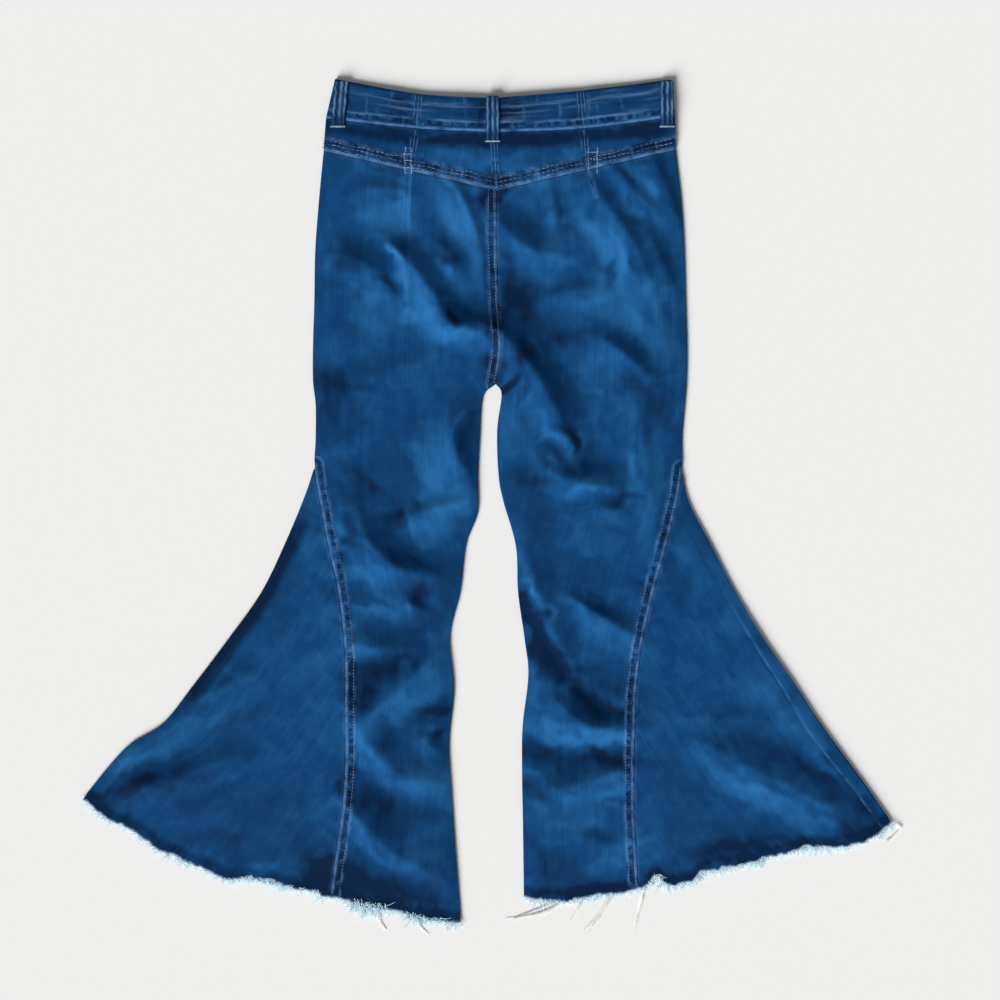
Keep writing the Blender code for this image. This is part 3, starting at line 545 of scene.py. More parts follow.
def shell(name, grid, under, top, material, fields):
    rows, columns = grid.shape[:2]
    points = grid.reshape(-1, 2)
    count = len(points)
    index = np.arange(count).reshape(rows, columns)
    corners = np.stack([index[:-1, :-1], index[1:, :-1], index[1:, 1:], index[:-1, 1:]], -1)
    upper = corners.reshape(-1, 4)
    rim = np.concatenate([index[0, :], index[1:, -1], index[-1, -2::-1], index[-2:0:-1, 0]])
    after = np.roll(rim, -1)
    edge = np.stack([rim, after, after + count, rim + count], -1)
    verts = np.concatenate([np.column_stack([points, top]), np.column_stack([points, under])]) * mm
    faces = np.concatenate([upper, upper[:, ::-1] + count, edge])
    mesh = bpy.data.meshes.new(name)
    mesh.from_pydata(verts.tolist(), [], faces.tolist())
    for field, values in fields.items():
        addAttribute(mesh, field, np.tile(values, 2))
    layer = mesh.uv_layers.new(name="grain")
    across, down = lengthsAcross(grid, 1).reshape(-1), lengthsAcross(grid, 0).reshape(-1)
    uv = np.tile(np.column_stack([across, down]) * mm, (2, 1))
    loops = np.empty(len(mesh.loops), np.int32)
    mesh.loops.foreach_get("vertex_index", loops)
    layer.data.foreach_set("uv", uv[loops].reshape(-1).astype(np.float32))
    return finishPiece(name, mesh, material)


def finishPiece(name, mesh, material):
    work = bmesh.new()
    work.from_mesh(mesh)
    bmesh.ops.recalc_face_normals(work, faces=work.faces)
    work.to_mesh(mesh)
    work.free()
    mesh.shade_smooth()
    mesh.set_sharp_from_angle(angle=math.radians(cloth["sharpAngle"]))
    mesh.materials.clear()
    mesh.materials.append(material)
    piece = addObject(name, mesh)
    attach(piece, "root")
    return piece


def flatCut(grid):
    width = lengthsAcross(grid, 1)[:, -1].max() * cloth["fullness"] * mm
    length = lengthsAcross(grid, 0)[-1].max() * cloth["fullness"] * mm
    first, second = grid[1:, 1:] - grid[:-1, :-1], grid[1:, :-1] - grid[:-1, 1:]
    area = np.abs(first[..., 0] * second[..., 1] - first[..., 1] * second[..., 0]).sum() / 2
    return width, length, area * (cloth["fullness"] * mm) ** 2


def clothPiece(node, grid, panel, material="leg"):
    points = grid.reshape(-1, 2)
    under, top = surfaceHeights(points, panel)
    back = panel["layer"] == "back"
    if back:
        surface = np.concatenate([points, top[:, None]], 1).reshape(*grid.shape[:2], 3)
        normal = np.cross(np.gradient(surface, axis=1), np.gradient(surface, axis=0))
        level = np.abs(normal[..., 2]) / np.maximum(np.linalg.norm(normal, axis=-1), 1e-9)
        level = np.maximum(level.reshape(-1), cloth["steepest"])
        top = under + (top - under) * np.clip(1 / level, 1, cloth["thickest"])
    down = lengthsAcross(grid, 0)
    seam = seamFields(points, panel)
    flat = np.zeros(len(points))
    # fade: wash fades plus painted shade and painted highlights from the places table, seam-band
    # darkening and the godet edge's painted shadow
    fields = {"seamGap": seam["gap"], "seamAlong": seam["along"], "seamBand": seam["band"],
              "hemGap": (down[-1] - down).reshape(-1), "topGap": down.reshape(-1),
              "fade": shadeAndFadeAt(points) - seam["shade"] if back else flat,
              "crest": foldsAt(points) if back else flat}
    if "sideSeam" in panel:
        fields["sideGap"], fields["sideShown"], strip = godetSideSeam(points, panel)
        # the godet edge's painted shadow joins the tone here
        fields["fade"] = fields["fade"] - strip
    if "waistEdge" in panel:
        fields["bandAlong"] = nearest(points, seams["waistband"]["line"])[1]
    flatCut(grid)
    return shell(f"{node}_cloth", grid, under, top, materials[material], fields)


# Soft lighter (+) and darker (-) places, partly wash fades and partly painted highlight and painted shade
# that copy the folds' light and shade: middle, half length and width, turn in degrees, percent.
shadeAndFadePlaces = (
    # left seat and hip
    (-128, 370, 30, 12, 0, 10), (-108, 284, 16, 4, -50, 40), (-109, 254, 9, 7, -50, 24),
    (-37, 366, 8, 5, -50, 25), (-31, 340, 22, 4, -65, -16), (-14, 338, 24, 5, -72, 20),
    (-118, 312, 22, 6, 0, 16), (-92, 318, 9, 9, 0, 14), (-68, 287, 16, 8, -40, 18),
    (-45, 266, 11, 7, -30, -28), (-98, 264, 20, 6, -65, 22), (-106, 254, 8, 7, 0, 20),
    (-119, 249, 12, 6, -60, -20), (-155, 275, 12, 6, -10, -14), (-172, 270, 9, 12, 0, 14),
    (-158, 244, 10, 8, 0, 14), (-152, 206, 14, 9, -40, 16), (-132, 224, 9, 12, 0, 14),
    (-60, 211, 9, 7, 0, 26), (-45, 224, 22, 7, -55, 20), (-40, 204, 10, 7, 0, -26),
    (-110, 186, 24, 8, 0, -14), (-12, 256, 28, 7, 90, 16), (6, 334, 14, 7, 0, -28),
    (10, 300, 26, 8, 90, -16), (-88, 362, 14, 5, 90, 26), (-148, 312, 14, 12, 0, -10),
    (-90, 206, 12, 7, 0, 14), (-112, 321, 34, 18, 0, 30), (-38, 367, 12, 8, -50, 75),
    (-26, 340, 26, 9, -62, 32), (-12, 300, 34, 7, -78, 18), (-40, 314, 30, 15, -60, 30),
    (-80, 230, 38, 14, -62, 36), (-91, 238, 38, 4, 90, 18), (-91, 207, 12, 9, 0, 42),
    (-34, 191, 34, 9, 5, 20), (-136, 218, 40, 15, 90, 18), (-176, 290, 26, 8, 90, 8),
    (-130, 372, 44, 9, -8, 12), (-89, 350, 44, 5, 90, 22), (-56, 255, 11, 8, -30, 24),
    (-90, 282, 22, 12, -30, 12), (-84, 311, 36, 8, -8, 10), (-146, 285, 26, 13, 0, -26),
    (-150, 270, 18, 9, 0, -22), (-104, 344, 13, 10, 0, -18), (-115, 251, 20, 11, -50, -52),
    (-95, 293, 16, 7, -40, -8), (-117, 282, 9, 16, 20, -32), (-26, 216, 30, 13, -8, -26),
    (-48, 278, 26, 10, -42, -38), (-42, 204, 14, 8, -30, -62), (-184, 334, 26, 7, 85, -18),
    (-157, 314, 18, 13, 90, -10), (11, 357, 12, 21, 0, -60), (-19, 362, 8, 7, 0, -45),
    (-38, 344, 20, 4, -62, -12), (4, 336, 12, 9, 0, -50),
    # right seat and hip
    (46, 376, 16, 10, -60, 20), (189, 366, 18, 6, -70, -26), (207, 332, 16, 5, -65, -24),
    (176, 352, 34, 5, -55, 24), (196, 322, 16, 5, -60, 20), (157, 356, 9, 4, -55, -18),
    (156, 336, 14, 5, -30, 18), (89, 310, 20, 8, -62, -30), (62, 306, 16, 8, 0, 14),
    (40, 332, 36, 9, -5, -12), (74, 290, 24, 6, -15, 20), (66, 281, 14, 6, 0, -16),
    (84, 268, 12, 6, 0, 20), (46, 256, 22, 8, 5, 16), (147, 260, 22, 6, -80, -28),
    (162, 268, 12, 7, -60, 28), (150, 296, 24, 5, -62, 20), (193, 246, 10, 8, 0, 20),
    (118, 226, 10, 9, 0, 28), (178, 222, 10, 12, 0, 16), (95, 237, 10, 6, 0, -18),
    (56, 196, 12, 10, 0, -12), (18, 277, 10, 6, -60, -18), (4, 196, 12, 8, 0, -20),
    (66, 371, 38, 9, 12, 32), (154, 342, 20, 8, -55, 34), (172, 364, 24, 6, -50, 30),
    (186, 352, 30, 7, -66, 22), (36, 350, 14, 20, 0, 10), (120, 300, 44, 18, -48, 44),
    (88, 362, 30, 8, 10, 16), (150, 268, 30, 12, -80, 20), (200, 206, 34, 10, -75, 18),
    (180, 216, 14, 16, 0, -36), (172, 276, 24, 7, -60, -26), (194, 266, 18, 9, -70, -34),
    (76, 289, 14, 14, 0, 42), (112, 238, 26, 16, 0, 26), (112, 208, 22, 10, 0, 20),
    (150, 232, 36, 26, -40, 38), (164, 196, 26, 18, 0, 26), (116, 148, 24, 20, 0, 14),
    (38, 316, 28, 13, -30, -22), (81, 319, 24, 7, -72, -30), (143, 262, 9, 18, 0, -34),
    (96, 252, 14, 9, 0, -28), (180, 333, 12, 7, -50, -20), (34, 226, 46, 20, 85, -38),
    (22, 268, 44, 8, 90, -20), (204, 362, 34, 7, -74, -14), (150, 382, 20, 8, 0, 16),
    (66, 206, 34, 13, -30, -30), (160, 176, 32, 9, -40, -16), (6, 194, 14, 14, 0, -62),
    (84, 188, 30, 12, 0, -20),
    # left thigh and knee
    (-168, 118, 18, 16, 0, -20), (-142, 126, 12, 6, 0, -14), (-180, 94, 8, 16, 0, -12),
    (-118, 163, 20, 14, 0, -13), (-88, 104, 12, 18, 0, -14), (-92, 62, 9, 7, 0, -18),
    (-14, 104, 6, 12, -20, -18), (-33, 91, 9, 6, 0, 18), (-75, 28, 12, 8, -40, 24),
    (-50, 28, 28, 6, 88, 16), (-121, 22, 8, 8, 0, -16), (-76, 6, 20, 5, -20, -18),
    (-136, -38, 20, 6, -45, -20), (-178, 12, 22, 6, -80, -14), (-91, -20, 7, 14, 10, 22),
    (-24, -8, 14, 5, 15, 18), (-60, -38, 16, 5, 0, 14), (-169, -40, 16, 9, -50, 40),
    (-163, -58, 7, 9, 0, 30), (-70, 38, 34, 13, -62, 48), (-56, 62, 28, 12, 85, 10),
    (-70, -25, 22, 13, 12, 24), (-38, 6, 24, 10, 10, 46), (-32, 95, 18, 3.5, 55, 35),
    (-30, 160, 24, 12, 90, 6), (-176, 138, 26, 18, 0, -36), (-134, 149, 23, 10, 0, -22),
    (-138, 128, 17, 8, 0, -16), (-98, 164, 12, 8, 0, -20), (-100, 84, 30, 18, 0, -18),
    (-156, 44, 22, 12, 0, -22), (-56, 106, 13, 9, 0, -14), (-20, 118, 14, 9, 60, -22),
    (-186, 96, 40, 9, 88, -18), (-22, 74, 32, 9, 85, -22), (-164, 14, 13, 8, -40, -20),
    (-128, 16, 32, 15, -40, -36), (-108, -22, 15, 12, 0, -56), (-152, -34, 40, 10, -72, -48),
    (-98, -40, 26, 8, -20, -12), (-80, -66, 20, 6, -8, -14), (2, 134, 9, 9, 0, -50),
    (-78, -66, 14, 9, 0, -16), (8, 158, 16, 10, 90, -56), (-86, 172, 12, 12, 0, -22),
    # right thigh and knee
    (46, 132, 24, 7, 72, -40), (104, 72, 9, 6, -60, 30), (76, 114, 22, 7, -50, -24),
    (94, 70, 14, 5, -60, -22), (162, 150, 16, 9, -10, -30), (186, 134, 18, 7, -35, -20),
    (121, 127, 11, 5, 0, 22), (150, 118, 24, 7, -70, 18), (159, 92, 8, 8, 0, 20),
    (130, 86, 12, 9, 0, -18), (102, 140, 8, 12, 0, -14), (92, 166, 10, 10, 0, -14),
    (30, 167, 9, 8, 0, -18), (18, 121, 8, 7, 0, -36), (44, 36, 20, 12, 0, -26), (34, 10, 10, 26, 0, -16),
    (76, 54, 16, 6, -30, -20), (99, 35, 16, 6, -10, -34), (64, 71, 16, 5, 0, 16), (68, 46, 8, 8, -40, 16),
    (120, 21, 16, 8, 10, 24), (148, 12, 14, 7, 0, -30), (166, 8, 8, 14, 0, -18),
    (170, 34, 24, 5, -75, 24), (108, -5, 16, 5, 0, -20), (72, -28, 24, 14, 0, -12),
    (20, 75, 26, 6, 90, 16), (56, 172, 14, 5, -60, 18), (32, 92, 28, 10, 90, 20),
    (62, 105, 42, 12, -70, 8), (94, 57, 12, 4, -60, 24), (112, 14, 32, 7, 0, 14),
    (192, 26, 40, 11, -85, 34), (166, 20, 60, 7, -82, 10), (116, -38, 38, 16, 0, 8),
    (36, 166, 22, 11, -70, -55), (24, 130, 18, 7, 55, -85), (92, 76, 24, 9, -64, -60),
    (72, 150, 50, 12, -62, -12), (176, 124, 30, 16, -35, -36), (195, 114, 20, 9, 80, -20),
    (208, 112, 46, 8, 90, -12), (84, 52, 26, 8, -35, -42), (80, 24, 30, 8, -8, -38),
    (136, 8, 42, 6, -3, -30), (56, 0, 34, 20, -80, -24), (88, -14, 34, 9, 0, -14),
    (126, 43, 32, 8, 0, -10),
    # left calf and hem
    (-132, -90, 28, 7, -28, 20), (-106, -106, 16, 7, -10, 12), (-116, -66, 30, 6, -35, -24),
    (-164, -96, 5, 8, 0, -24), (-142, -114, 13, 5, -15, -20), (-122, -126, 16, 6, 0, 14),
    (-86, -120, 14, 8, 0, -16), (-153, -142, 6, 9, 0, 20), (-157, -182, 6, 8, 0, -34),
    (-157, -203, 5, 6, 0, -22), (-92, -176, 12, 10, 40, -30), (-100, -194, 9, 8, 0, -24),
    (-134, -232, 12, 6, 10, -22), (-122, -186, 14, 12, 0, 12), (-73, -177, 10, 9, 50, 16),
    (-52, -186, 8, 22, 0, 14), (-66, -241, 18, 6, -8, -28), (-48, -258, 5, 10, 0, -20),
    (-62, -265, 11, 5, -30, 28), (-145, -266, 24, 7, -58, -14), (-158, -318, 6, 14, 0, -30),
    (-163, -352, 5, 8, 0, -18), (-170, -403, 5, 12, 0, -28), (-173, -428, 5, 9, 0, -28),
    (-124, -310, 14, 8, -40, -16), (-107, -299, 10, 5, -10, -30), (-76, -292, 34, 9, -20, 20),
    (-112, -384, 36, 6, -38, -24), (-90, -403, 12, 6, -20, -16), (-68, -395, 12, 6, 0, 16),
    (-145, -386, 9, 8, 0, 16), (-72, -447, 18, 6, 0, -18), (-130, -80, 34, 14, -50, 14),
    (-156, -78, 24, 10, -10, 36), (-118, -122, 28, 10, 0, 36), (-134, -146, 26, 8, 0, 12),
    (-152, -146, 9, 9, 0, 18), (-60, -158, 40, 12, 82, 16), (-74, -184, 20, 14, -60, 24),
    (-76, -214, 34, 9, 14, 20), (-142, -262, 36, 10, -60, 16), (-74, -303, 32, 8, -6, 44),
    (-74, -320, 32, 9, 0, 10), (-70, -390, 26, 14, -40, 18), (-140, -360, 26, 8, -48, 14),
    (-74, -97, 22, 12, -10, -46), (-68, -134, 20, 14, -60, -34), (-144, -102, 13, 8, -10, -14),
    (-112, -146, 32, 9, 0, -10), (-118, -180, 40, 15, 5, -50), (-138, -216, 14, 26, -10, -46),
    (-110, -268, 20, 7, -40, -10), (-56, -226, 22, 9, 8, -52), (-49, -264, 6, 14, 0, -24),
    (-106, -252, 14, 9, 0, -22), (-99, -306, 8, 8, 0, -42), (-122, -332, 30, 17, -20, -52),
    (-150, -302, 14, 9, -50, -20), (-64, -344, 22, 7, 0, -16), (-108, -362, 24, 14, -45, -16),
    (-108, -438, 66, 15, -12, -50), (-150, -412, 34, 14, -10, -34), (-78, -426, 44, 14, -10, -36),
    (-154, -196, 5, 30, 0, -30), (-156, -300, 5, 34, 0, -22),
    # right calf and hem
    (40, -90, 9, 9, 0, 36), (62, -108, 22, 5, -68, 24), (68, -120, 7, 9, 0, 20), (50, -168, 6, 14, 0, 30),
    (88, -114, 8, 8, 0, 16), (105, -138, 8, 20, 0, 12), (124, -106, 16, 6, -35, 20),
    (110, -114, 12, 5, -40, -20), (130, -128, 10, 6, 0, -14), (186, -66, 5, 14, 0, 20),
    (185, -98, 5, 8, 0, -34), (88, -178, 14, 6, 0, -22), (70, -212, 14, 9, -50, -26),
    (98, -208, 22, 6, -35, 22), (140, -220, 26, 5, -35, -20), (160, -234, 12, 6, 0, -36),
    (130, -250, 16, 6, 5, 30), (162, -262, 9, 14, 0, 16), (97, -254, 15, 9, -55, -40),
    (130, -272, 12, 7, 0, -42), (66, -240, 12, 8, 0, -14), (53, -326, 14, 9, -20, -40),
    (68, -338, 10, 7, 0, -20), (66, -310, 22, 5, -32, 20), (70, -293, 14, 6, -10, -22),
    (150, -314, 16, 6, -30, 20), (132, -329, 18, 6, 10, 20), (142, -343, 10, 5, 0, 20),
    (141, -296, 9, 5, 20, 20), (157, -284, 6, 12, 0, -24), (115, -366, 8, 7, 0, 20),
    (164, -372, 8, 5, 0, 26), (90, -366, 14, 5, -10, -20), (76, -377, 12, 5, 0, 20),
    (57, -394, 8, 22, 0, -20), (88, -397, 16, 10, 0, -16), (167, -406, 5, 10, 0, -24),
    (182, -405, 8, 6, 0, -20), (188, -390, 10, 9, 0, 20), (52, -424, 10, 12, 0, 20),
    (176, -421, 8, 7, 0, 34), (156, -416, 8, 6, 0, -18), (54, -93, 16, 6, -62, 24),
    (46, -84, 12, 5, -50, 10), (132, -146, 34, 9, -24, 6), (78, -254, 44, 13, -6, 40),
    (94, -267, 16, 7, 0, 36), (150, -268, 18, 8, 0, 18), (140, -263, 22, 8, 0, 24),
    (56, -214, 22, 8, -70, 8), (146, -322, 22, 9, 0, 34), (128, -302, 30, 7, 8, 30),
    (94, -272, 20, 8, 0, 16), (64, -350, 22, 14, 0, 10), (112, -360, 22, 10, 0, 24),
    (172, -371, 20, 7, 0, 16), (134, -404, 26, 9, 5, 18), (50, -122, 40, 12, -70, -80),
    (69, -145, 24, 6, -65, -36), (50, -62, 20, 8, -80, -22), (62, -172, 34, 12, -64, -44),
    (88, -207, 22, 7, -45, 16), (84, -122, 18, 12, -40, -24), (156, -118, 14, 8, -30, -12),
    (176, -92, 15, 9, -40, -28), (96, -192, 30, 11, -48, -50), (124, -222, 40, 12, -28, -34),
    (110, -244, 20, 9, -15, -30), (160, -232, 12, 10, 0, -40), (148, -200, 22, 7, -20, -22),
    (110, -186, 20, 6, 0, -12), (60, -278, 24, 13, -10, -42), (128, -280, 42, 9, -4, -42),
    (68, -317, 28, 9, 0, -34), (78, -334, 12, 12, 0, -20), (84, -434, 24, 7, 0, -20),
    (142, -356, 18, 8, 0, -16), (96, -379, 34, 8, -6, -18), (76, -416, 34, 20, 0, -34),
    (140, -428, 50, 8, 5, -26),
    # left godet
    (-386, -371, 12, 7, -35, 40), (-330, -393, 12, 8, -20, 30), (-254, -412, 30, 7, 0, 40),
    (-332, -344, 36, 7, 15, -20), (-240, -350, 20, 30, 0, -14), (-325, -280, 18, 10, 0, -18),
    (-292, -236, 30, 9, 28, 18), (-215, -210, 26, 10, 0, 16), (-396, -324, 22, 8, 10, -12),
    (-390, -292, 16, 6, 15, 12), (-172, -408, 5, 24, 0, -16), (-174, -326, 14, 8, 0, -16),
    (-340, -253, 74, 11, 27, 26), (-398, -290, 34, 8, 22, 34), (-276, -188, 24, 9, 10, 18),
    (-214, -186, 44, 25, 10, 16), (-190, -190, 24, 50, 0, 8), (-190, -350, 16, 40, 0, 12),
    (-276, -312, 26, 30, 0, 12), (-372, -310, 84, 11, 12, -42), (-212, -82, 18, 22, 0, -14),
    (-268, -384, 44, 16, -6, -24), (-196, -380, 20, 20, 0, -18), (-182, -412, 30, 24, 0, -34),
    (-432, -334, 20, 12, -10, -30), (-172, -306, 8, 24, 0, -16),
    # right godet
    (250, -108, 34, 9, -60, -20), (206, -158, 20, 14, 0, -14), (430, -345, 22, 10, -40, -36),
    (372, -304, 56, 10, -38, -18), (288, -306, 14, 8, -40, 24), (324, -300, 14, 7, -40, 20),
    (306, -345, 28, 8, 0, 20), (340, -238, 12, 16, -40, 16), (238, -232, 22, 8, -15, 16),
    (258, -277, 20, 7, -25, -18), (255, -388, 24, 9, 8, -24), (308, -384, 20, 7, 10, -22),
    (262, -405, 16, 5, 5, 40), (392, -370, 9, 6, 0, -30), (232, -322, 12, 28, 0, -12),
    (190, -338, 12, 24, 0, 12), (226, -46, 12, 18, 0, 24), (320, -188, 12, 5, -40, -16),
    (290, -318, 46, 13, -30, 26), (352, -346, 44, 11, -30, 12), (274, -290, 44, 9, -35, 8),
    (356, -268, 40, 10, -55, 20), (306, -206, 40, 34, -30, 26), (190, -196, 24, 16, 0, 16),
    (262, -112, 60, 24, -62, 20), (380, -286, 34, 7, -55, 20), (190, -270, 16, 40, 0, 12),
    (352, -298, 74, 12, -34, -16), (286, -298, 36, 8, -30, -34), (262, -388, 58, 14, 18, -30),
    (330, -376, 40, 9, 8, -14), (412, -360, 30, 14, -20, -55), (346, -328, 44, 7, -28, -20),
    # yoke and waistband
    (-54, 420, 34, 4, -5, 25), (62, 419, 38, 4, -3, 25), (-2, 358, 8, 12, 0, 30),
    # the first two places here are painted shadows that the centre loop casts on the waistband
    (21, 438, 26, 5, 90, -50), (-5, 434, 20, 4, 90, -30), (-152, 427, 26, 4, -4, 30),
    (166, 427, 26, 4, 4, 30), (-100, 440, 28, 12, 0, -14), (29, 434, 9, 10, 0, -20),
    (94, 427, 7, 7, 0, -30), (131, 432, 6, 9, 0, 30), (190, 412, 20, 8, 0, -14),
    (-76, 389, 18, 6, -8, 20), (-130, 393, 16, 6, -10, 28), (62, 398, 16, 6, 5, -22),
    (176, 393, 12, 6, 0, -26), (134, 388, 10, 6, 0, 30), (87, 385, 9, 8, 0, 14),
    (-36, 390, 32, 9, -12, 22), (50, 394, 28, 7, 14, 18), (8, 392, 8, 8, 0, 24), (4, 414, 14, 7, 0, -30),
    (-94, 446, 16, 10, 0, -22), (30, 440, 9, 12, 0, -26), (100, 436, 17, 13, 0, -20),
    (-12, 424, 6, 10, 0, -20), (190, 410, 26, 9, 0, -26), (60, 404, 24, 6, 5, -16),
    (-80, 406, 12, 6, 0, -14), (132, 430, 6, 8, 0, 16),
)


mottles = ((0.12, 40, 11), (0.07, 15, 12), (0.06, 6, 13))       # amount, size, seed
fadeBends = ((8, 24, 21), (3, 8, 23))                           # reach, size, first seed
fadePower = 1.3                 # above 1, a place is flatter in the middle and firmer at its edge


# Tone from random mottling plus the places table, which holds painted shade and painted highlights as
# well as wash fades.
def shadeAndFadeAt(points):
    bent = points
    for reach, size, seed in fadeBends:
        bent = bent + reach * np.column_stack([noiseAt(points, size, seed),
                                               noiseAt(points, size, seed + 1)])
    total = sum(amount * noiseAt(bent, size, seed) for amount, size, seed in mottles)
    for x, y, long, wide, turn, percent in shadeAndFadePlaces:
        angle = math.radians(turn)
        away = bent - (x, y)
        u = (away[:, 0] * math.cos(angle) + away[:, 1] * math.sin(angle)) / long
        v = (-away[:, 0] * math.sin(angle) + away[:, 1] * math.cos(angle)) / wide
        total += percent / 100 * np.exp(-(u * u + v * v) ** fadePower)
    return total


class Value:                    # what a node puts out, which adds, multiplies and so on by nodes
    def __init__(self, tree, socket):
        self.tree, self.socket = tree, socket

    def by(self, operation, *others, clamp=False):
        return mathOf(self.tree, operation, self, *others, clamp=clamp)

    def __add__(self, other):
        return self.by("ADD", other)

    def __sub__(self, other):
        return self.by("SUBTRACT", other)

    def __rsub__(self, other):
        return mathOf(self.tree, "SUBTRACT", other, self)

    def __mul__(self, other):
        return self.by("MULTIPLY", other)

    def __abs__(self):
        return self.by("ABSOLUTE")

    def ramp(self, low, high, shape="SMOOTHSTEP"):
        return outOf(self.tree, "ShaderNodeMapRange",
                     {"Value": self, "From Min": low, "From Max": high}, interpolation_type=shape)


def setInputs(tree, node, values):
    for key, value in values.items():
        value = value.socket if isinstance(value, Value) else value
        if isinstance(value, bpy.types.NodeSocket):
            tree.links.new(value, node.inputs[key])
        else:
            node.inputs[key].default_value = value
    return node


def addNode(tree, kind, inputs=None, **settings):
    node = tree.nodes.new(kind)
    for key, value in settings.items():
        setattr(node, key, value)
    return setInputs(tree, node, inputs or {})


def outOf(tree, kind, inputs=None, output=0, **settings):
    return Value(tree, addNode(tree, kind, inputs, **settings).outputs[output])


def mathOf(tree, operation, *values, clamp=False):
    return outOf(tree, "ShaderNodeMath", dict(enumerate(values)), operation=operation,
                 use_clamp=clamp)


def largest(first, *others):
    for other in others:
        first = first.by("MAXIMUM", other)
    return first


def blend(factor, first, second):
    colors = [color if isinstance(color, Value) else (*color, 1) for color in (first, second)]
    return outOf(factor.tree, "ShaderNodeMix", {0: factor, 6: colors[0], 7: colors[1]}, output=2,
                 data_type="RGBA")


def noise(vector, stretch, detail=2.0):
    if not isinstance(stretch, tuple):
        stretch = (stretch,) * 3
    place = outOf(vector.tree, "ShaderNodeMapping", {"Vector": vector, "Scale": stretch})
    return outOf(vector.tree, "ShaderNodeTexNoise",
                 {"Vector": place, "Scale": 1.0, "Detail": detail}, output="Fac")


def joined(x, y=0.0):
    return outOf(x.tree, "ShaderNodeCombineXYZ", {"X": x, "Y": y})


def parted(vector):
    node = addNode(vector.tree, "ShaderNodeSeparateXYZ", {"Vector": vector})
    return [Value(vector.tree, socket) for socket in node.outputs]


def attributeOf(tree, name):
    return outOf(tree, "ShaderNodeAttribute", output="Fac", attribute_name=name)


def grainOf(tree):
    return outOf(tree, "ShaderNodeUVMap", uv_map="grain")


def placeOf(tree):
    return outOf(tree, "ShaderNodeTexCoord", output="Object")


groups = {}


def newGroup(name, inputs, outputs):
    tree = groups[name] = bpy.data.node_groups.new(name, "ShaderNodeTree")
    for label, value in inputs.items():
        kind = "NodeSocketVector" if value is None else "NodeSocketFloat"
        socket = tree.interface.new_socket(label, in_out="INPUT", socket_type=kind)
        if value is not None:
            socket.default_value = value
    for label in outputs:
        kind = "NodeSocketColor" if label == "Color" else "NodeSocketFloat"
        tree.interface.new_socket(label, in_out="OUTPUT", socket_type=kind)
    given = addNode(tree, "NodeGroupInput")
    return tree, [Value(tree, given.outputs[label]) for label in inputs]


def useGroup(tree, name, inputs):
    node = addNode(tree, "ShaderNodeGroup", inputs, node_tree=groups[name])
    return {socket.name: Value(tree, socket) for socket in node.outputs}


denim = {
    "deep": (0.0012, 0.0150, 0.053),
    "mid": (0.0040, 0.0565, 0.177),
    "pale": (0.018, 0.135, 0.36),
    "worn": (0.075, 0.20, 0.43),
    "frayed": (0.42, 0.55, 0.72),
    "twillPitch": 0.00085,
    "twillLean": 0.62,
    "roughness": 0.9,
    "bump": (0.22, 0.0005),
    "crestWearAndHighlight": 0.014,         # paler by this for each millimetre of a fold: partly wear on the crests, partly a painted highlight on them
    "hemDark": 0.40,
    "hemFrayed": 0.85,
    "seamWorn": 0.8,
    "bandWorn": 0.75,
    "bandDark": 0.5,
    "topFade": (11.0, 24.0),    # where the dark strip below the waistband ends
}


def makeWeaveGroup():
    tree, (grain, fade, streaks, clouds, crosswise) = newGroup(
        "denimWeave", {"Grain": None, "Fade": 0.0, "Streaks": 0.2, "Cloud": 0.2, "Crosswise": 0.0},
        ("Color", "Height", "Roughness"))
    slub, weft = noise(grain, (1500, 45, 1), 3), noise(grain, (60, 1300, 1))
    slubLong, slubWide = noise(grain, (420, 14, 1)), noise(grain, (150, 9, 1))
    x, y, _ = parted(grain)
    twill = ((x + y * denim["twillLean"]) * (2 * math.pi / denim["twillPitch"])).by("SINE")
    streak = (slub - 0.5) + (slubLong - 0.5) + (slubWide - 0.5) * 1.3
    # the Fade input carries wash fades together with painted shade and painted highlights
    tone = (fade + 0.5) + (streak * streaks + (weft - 0.5) * crosswise
                           + (noise(grain, (38, 26, 1), 4) - 0.5) * clouds)
    tone = tone.by("ADD", twill * 0.035, clamp=True)
    dark = blend(tone.ramp(0.0, 0.5, "LINEAR"), denim["deep"], denim["mid"])
    face = blend(tone.ramp(0.5, 1.0, "LINEAR"), dark, denim["pale"])
    addNode(tree, "NodeGroupOutput", {
        "Color": face, "Height": twill * 0.5 + (slub + weft) * 0.9,
        "Roughness": slub * 0.1 + (denim["roughness"] - 0.05)})


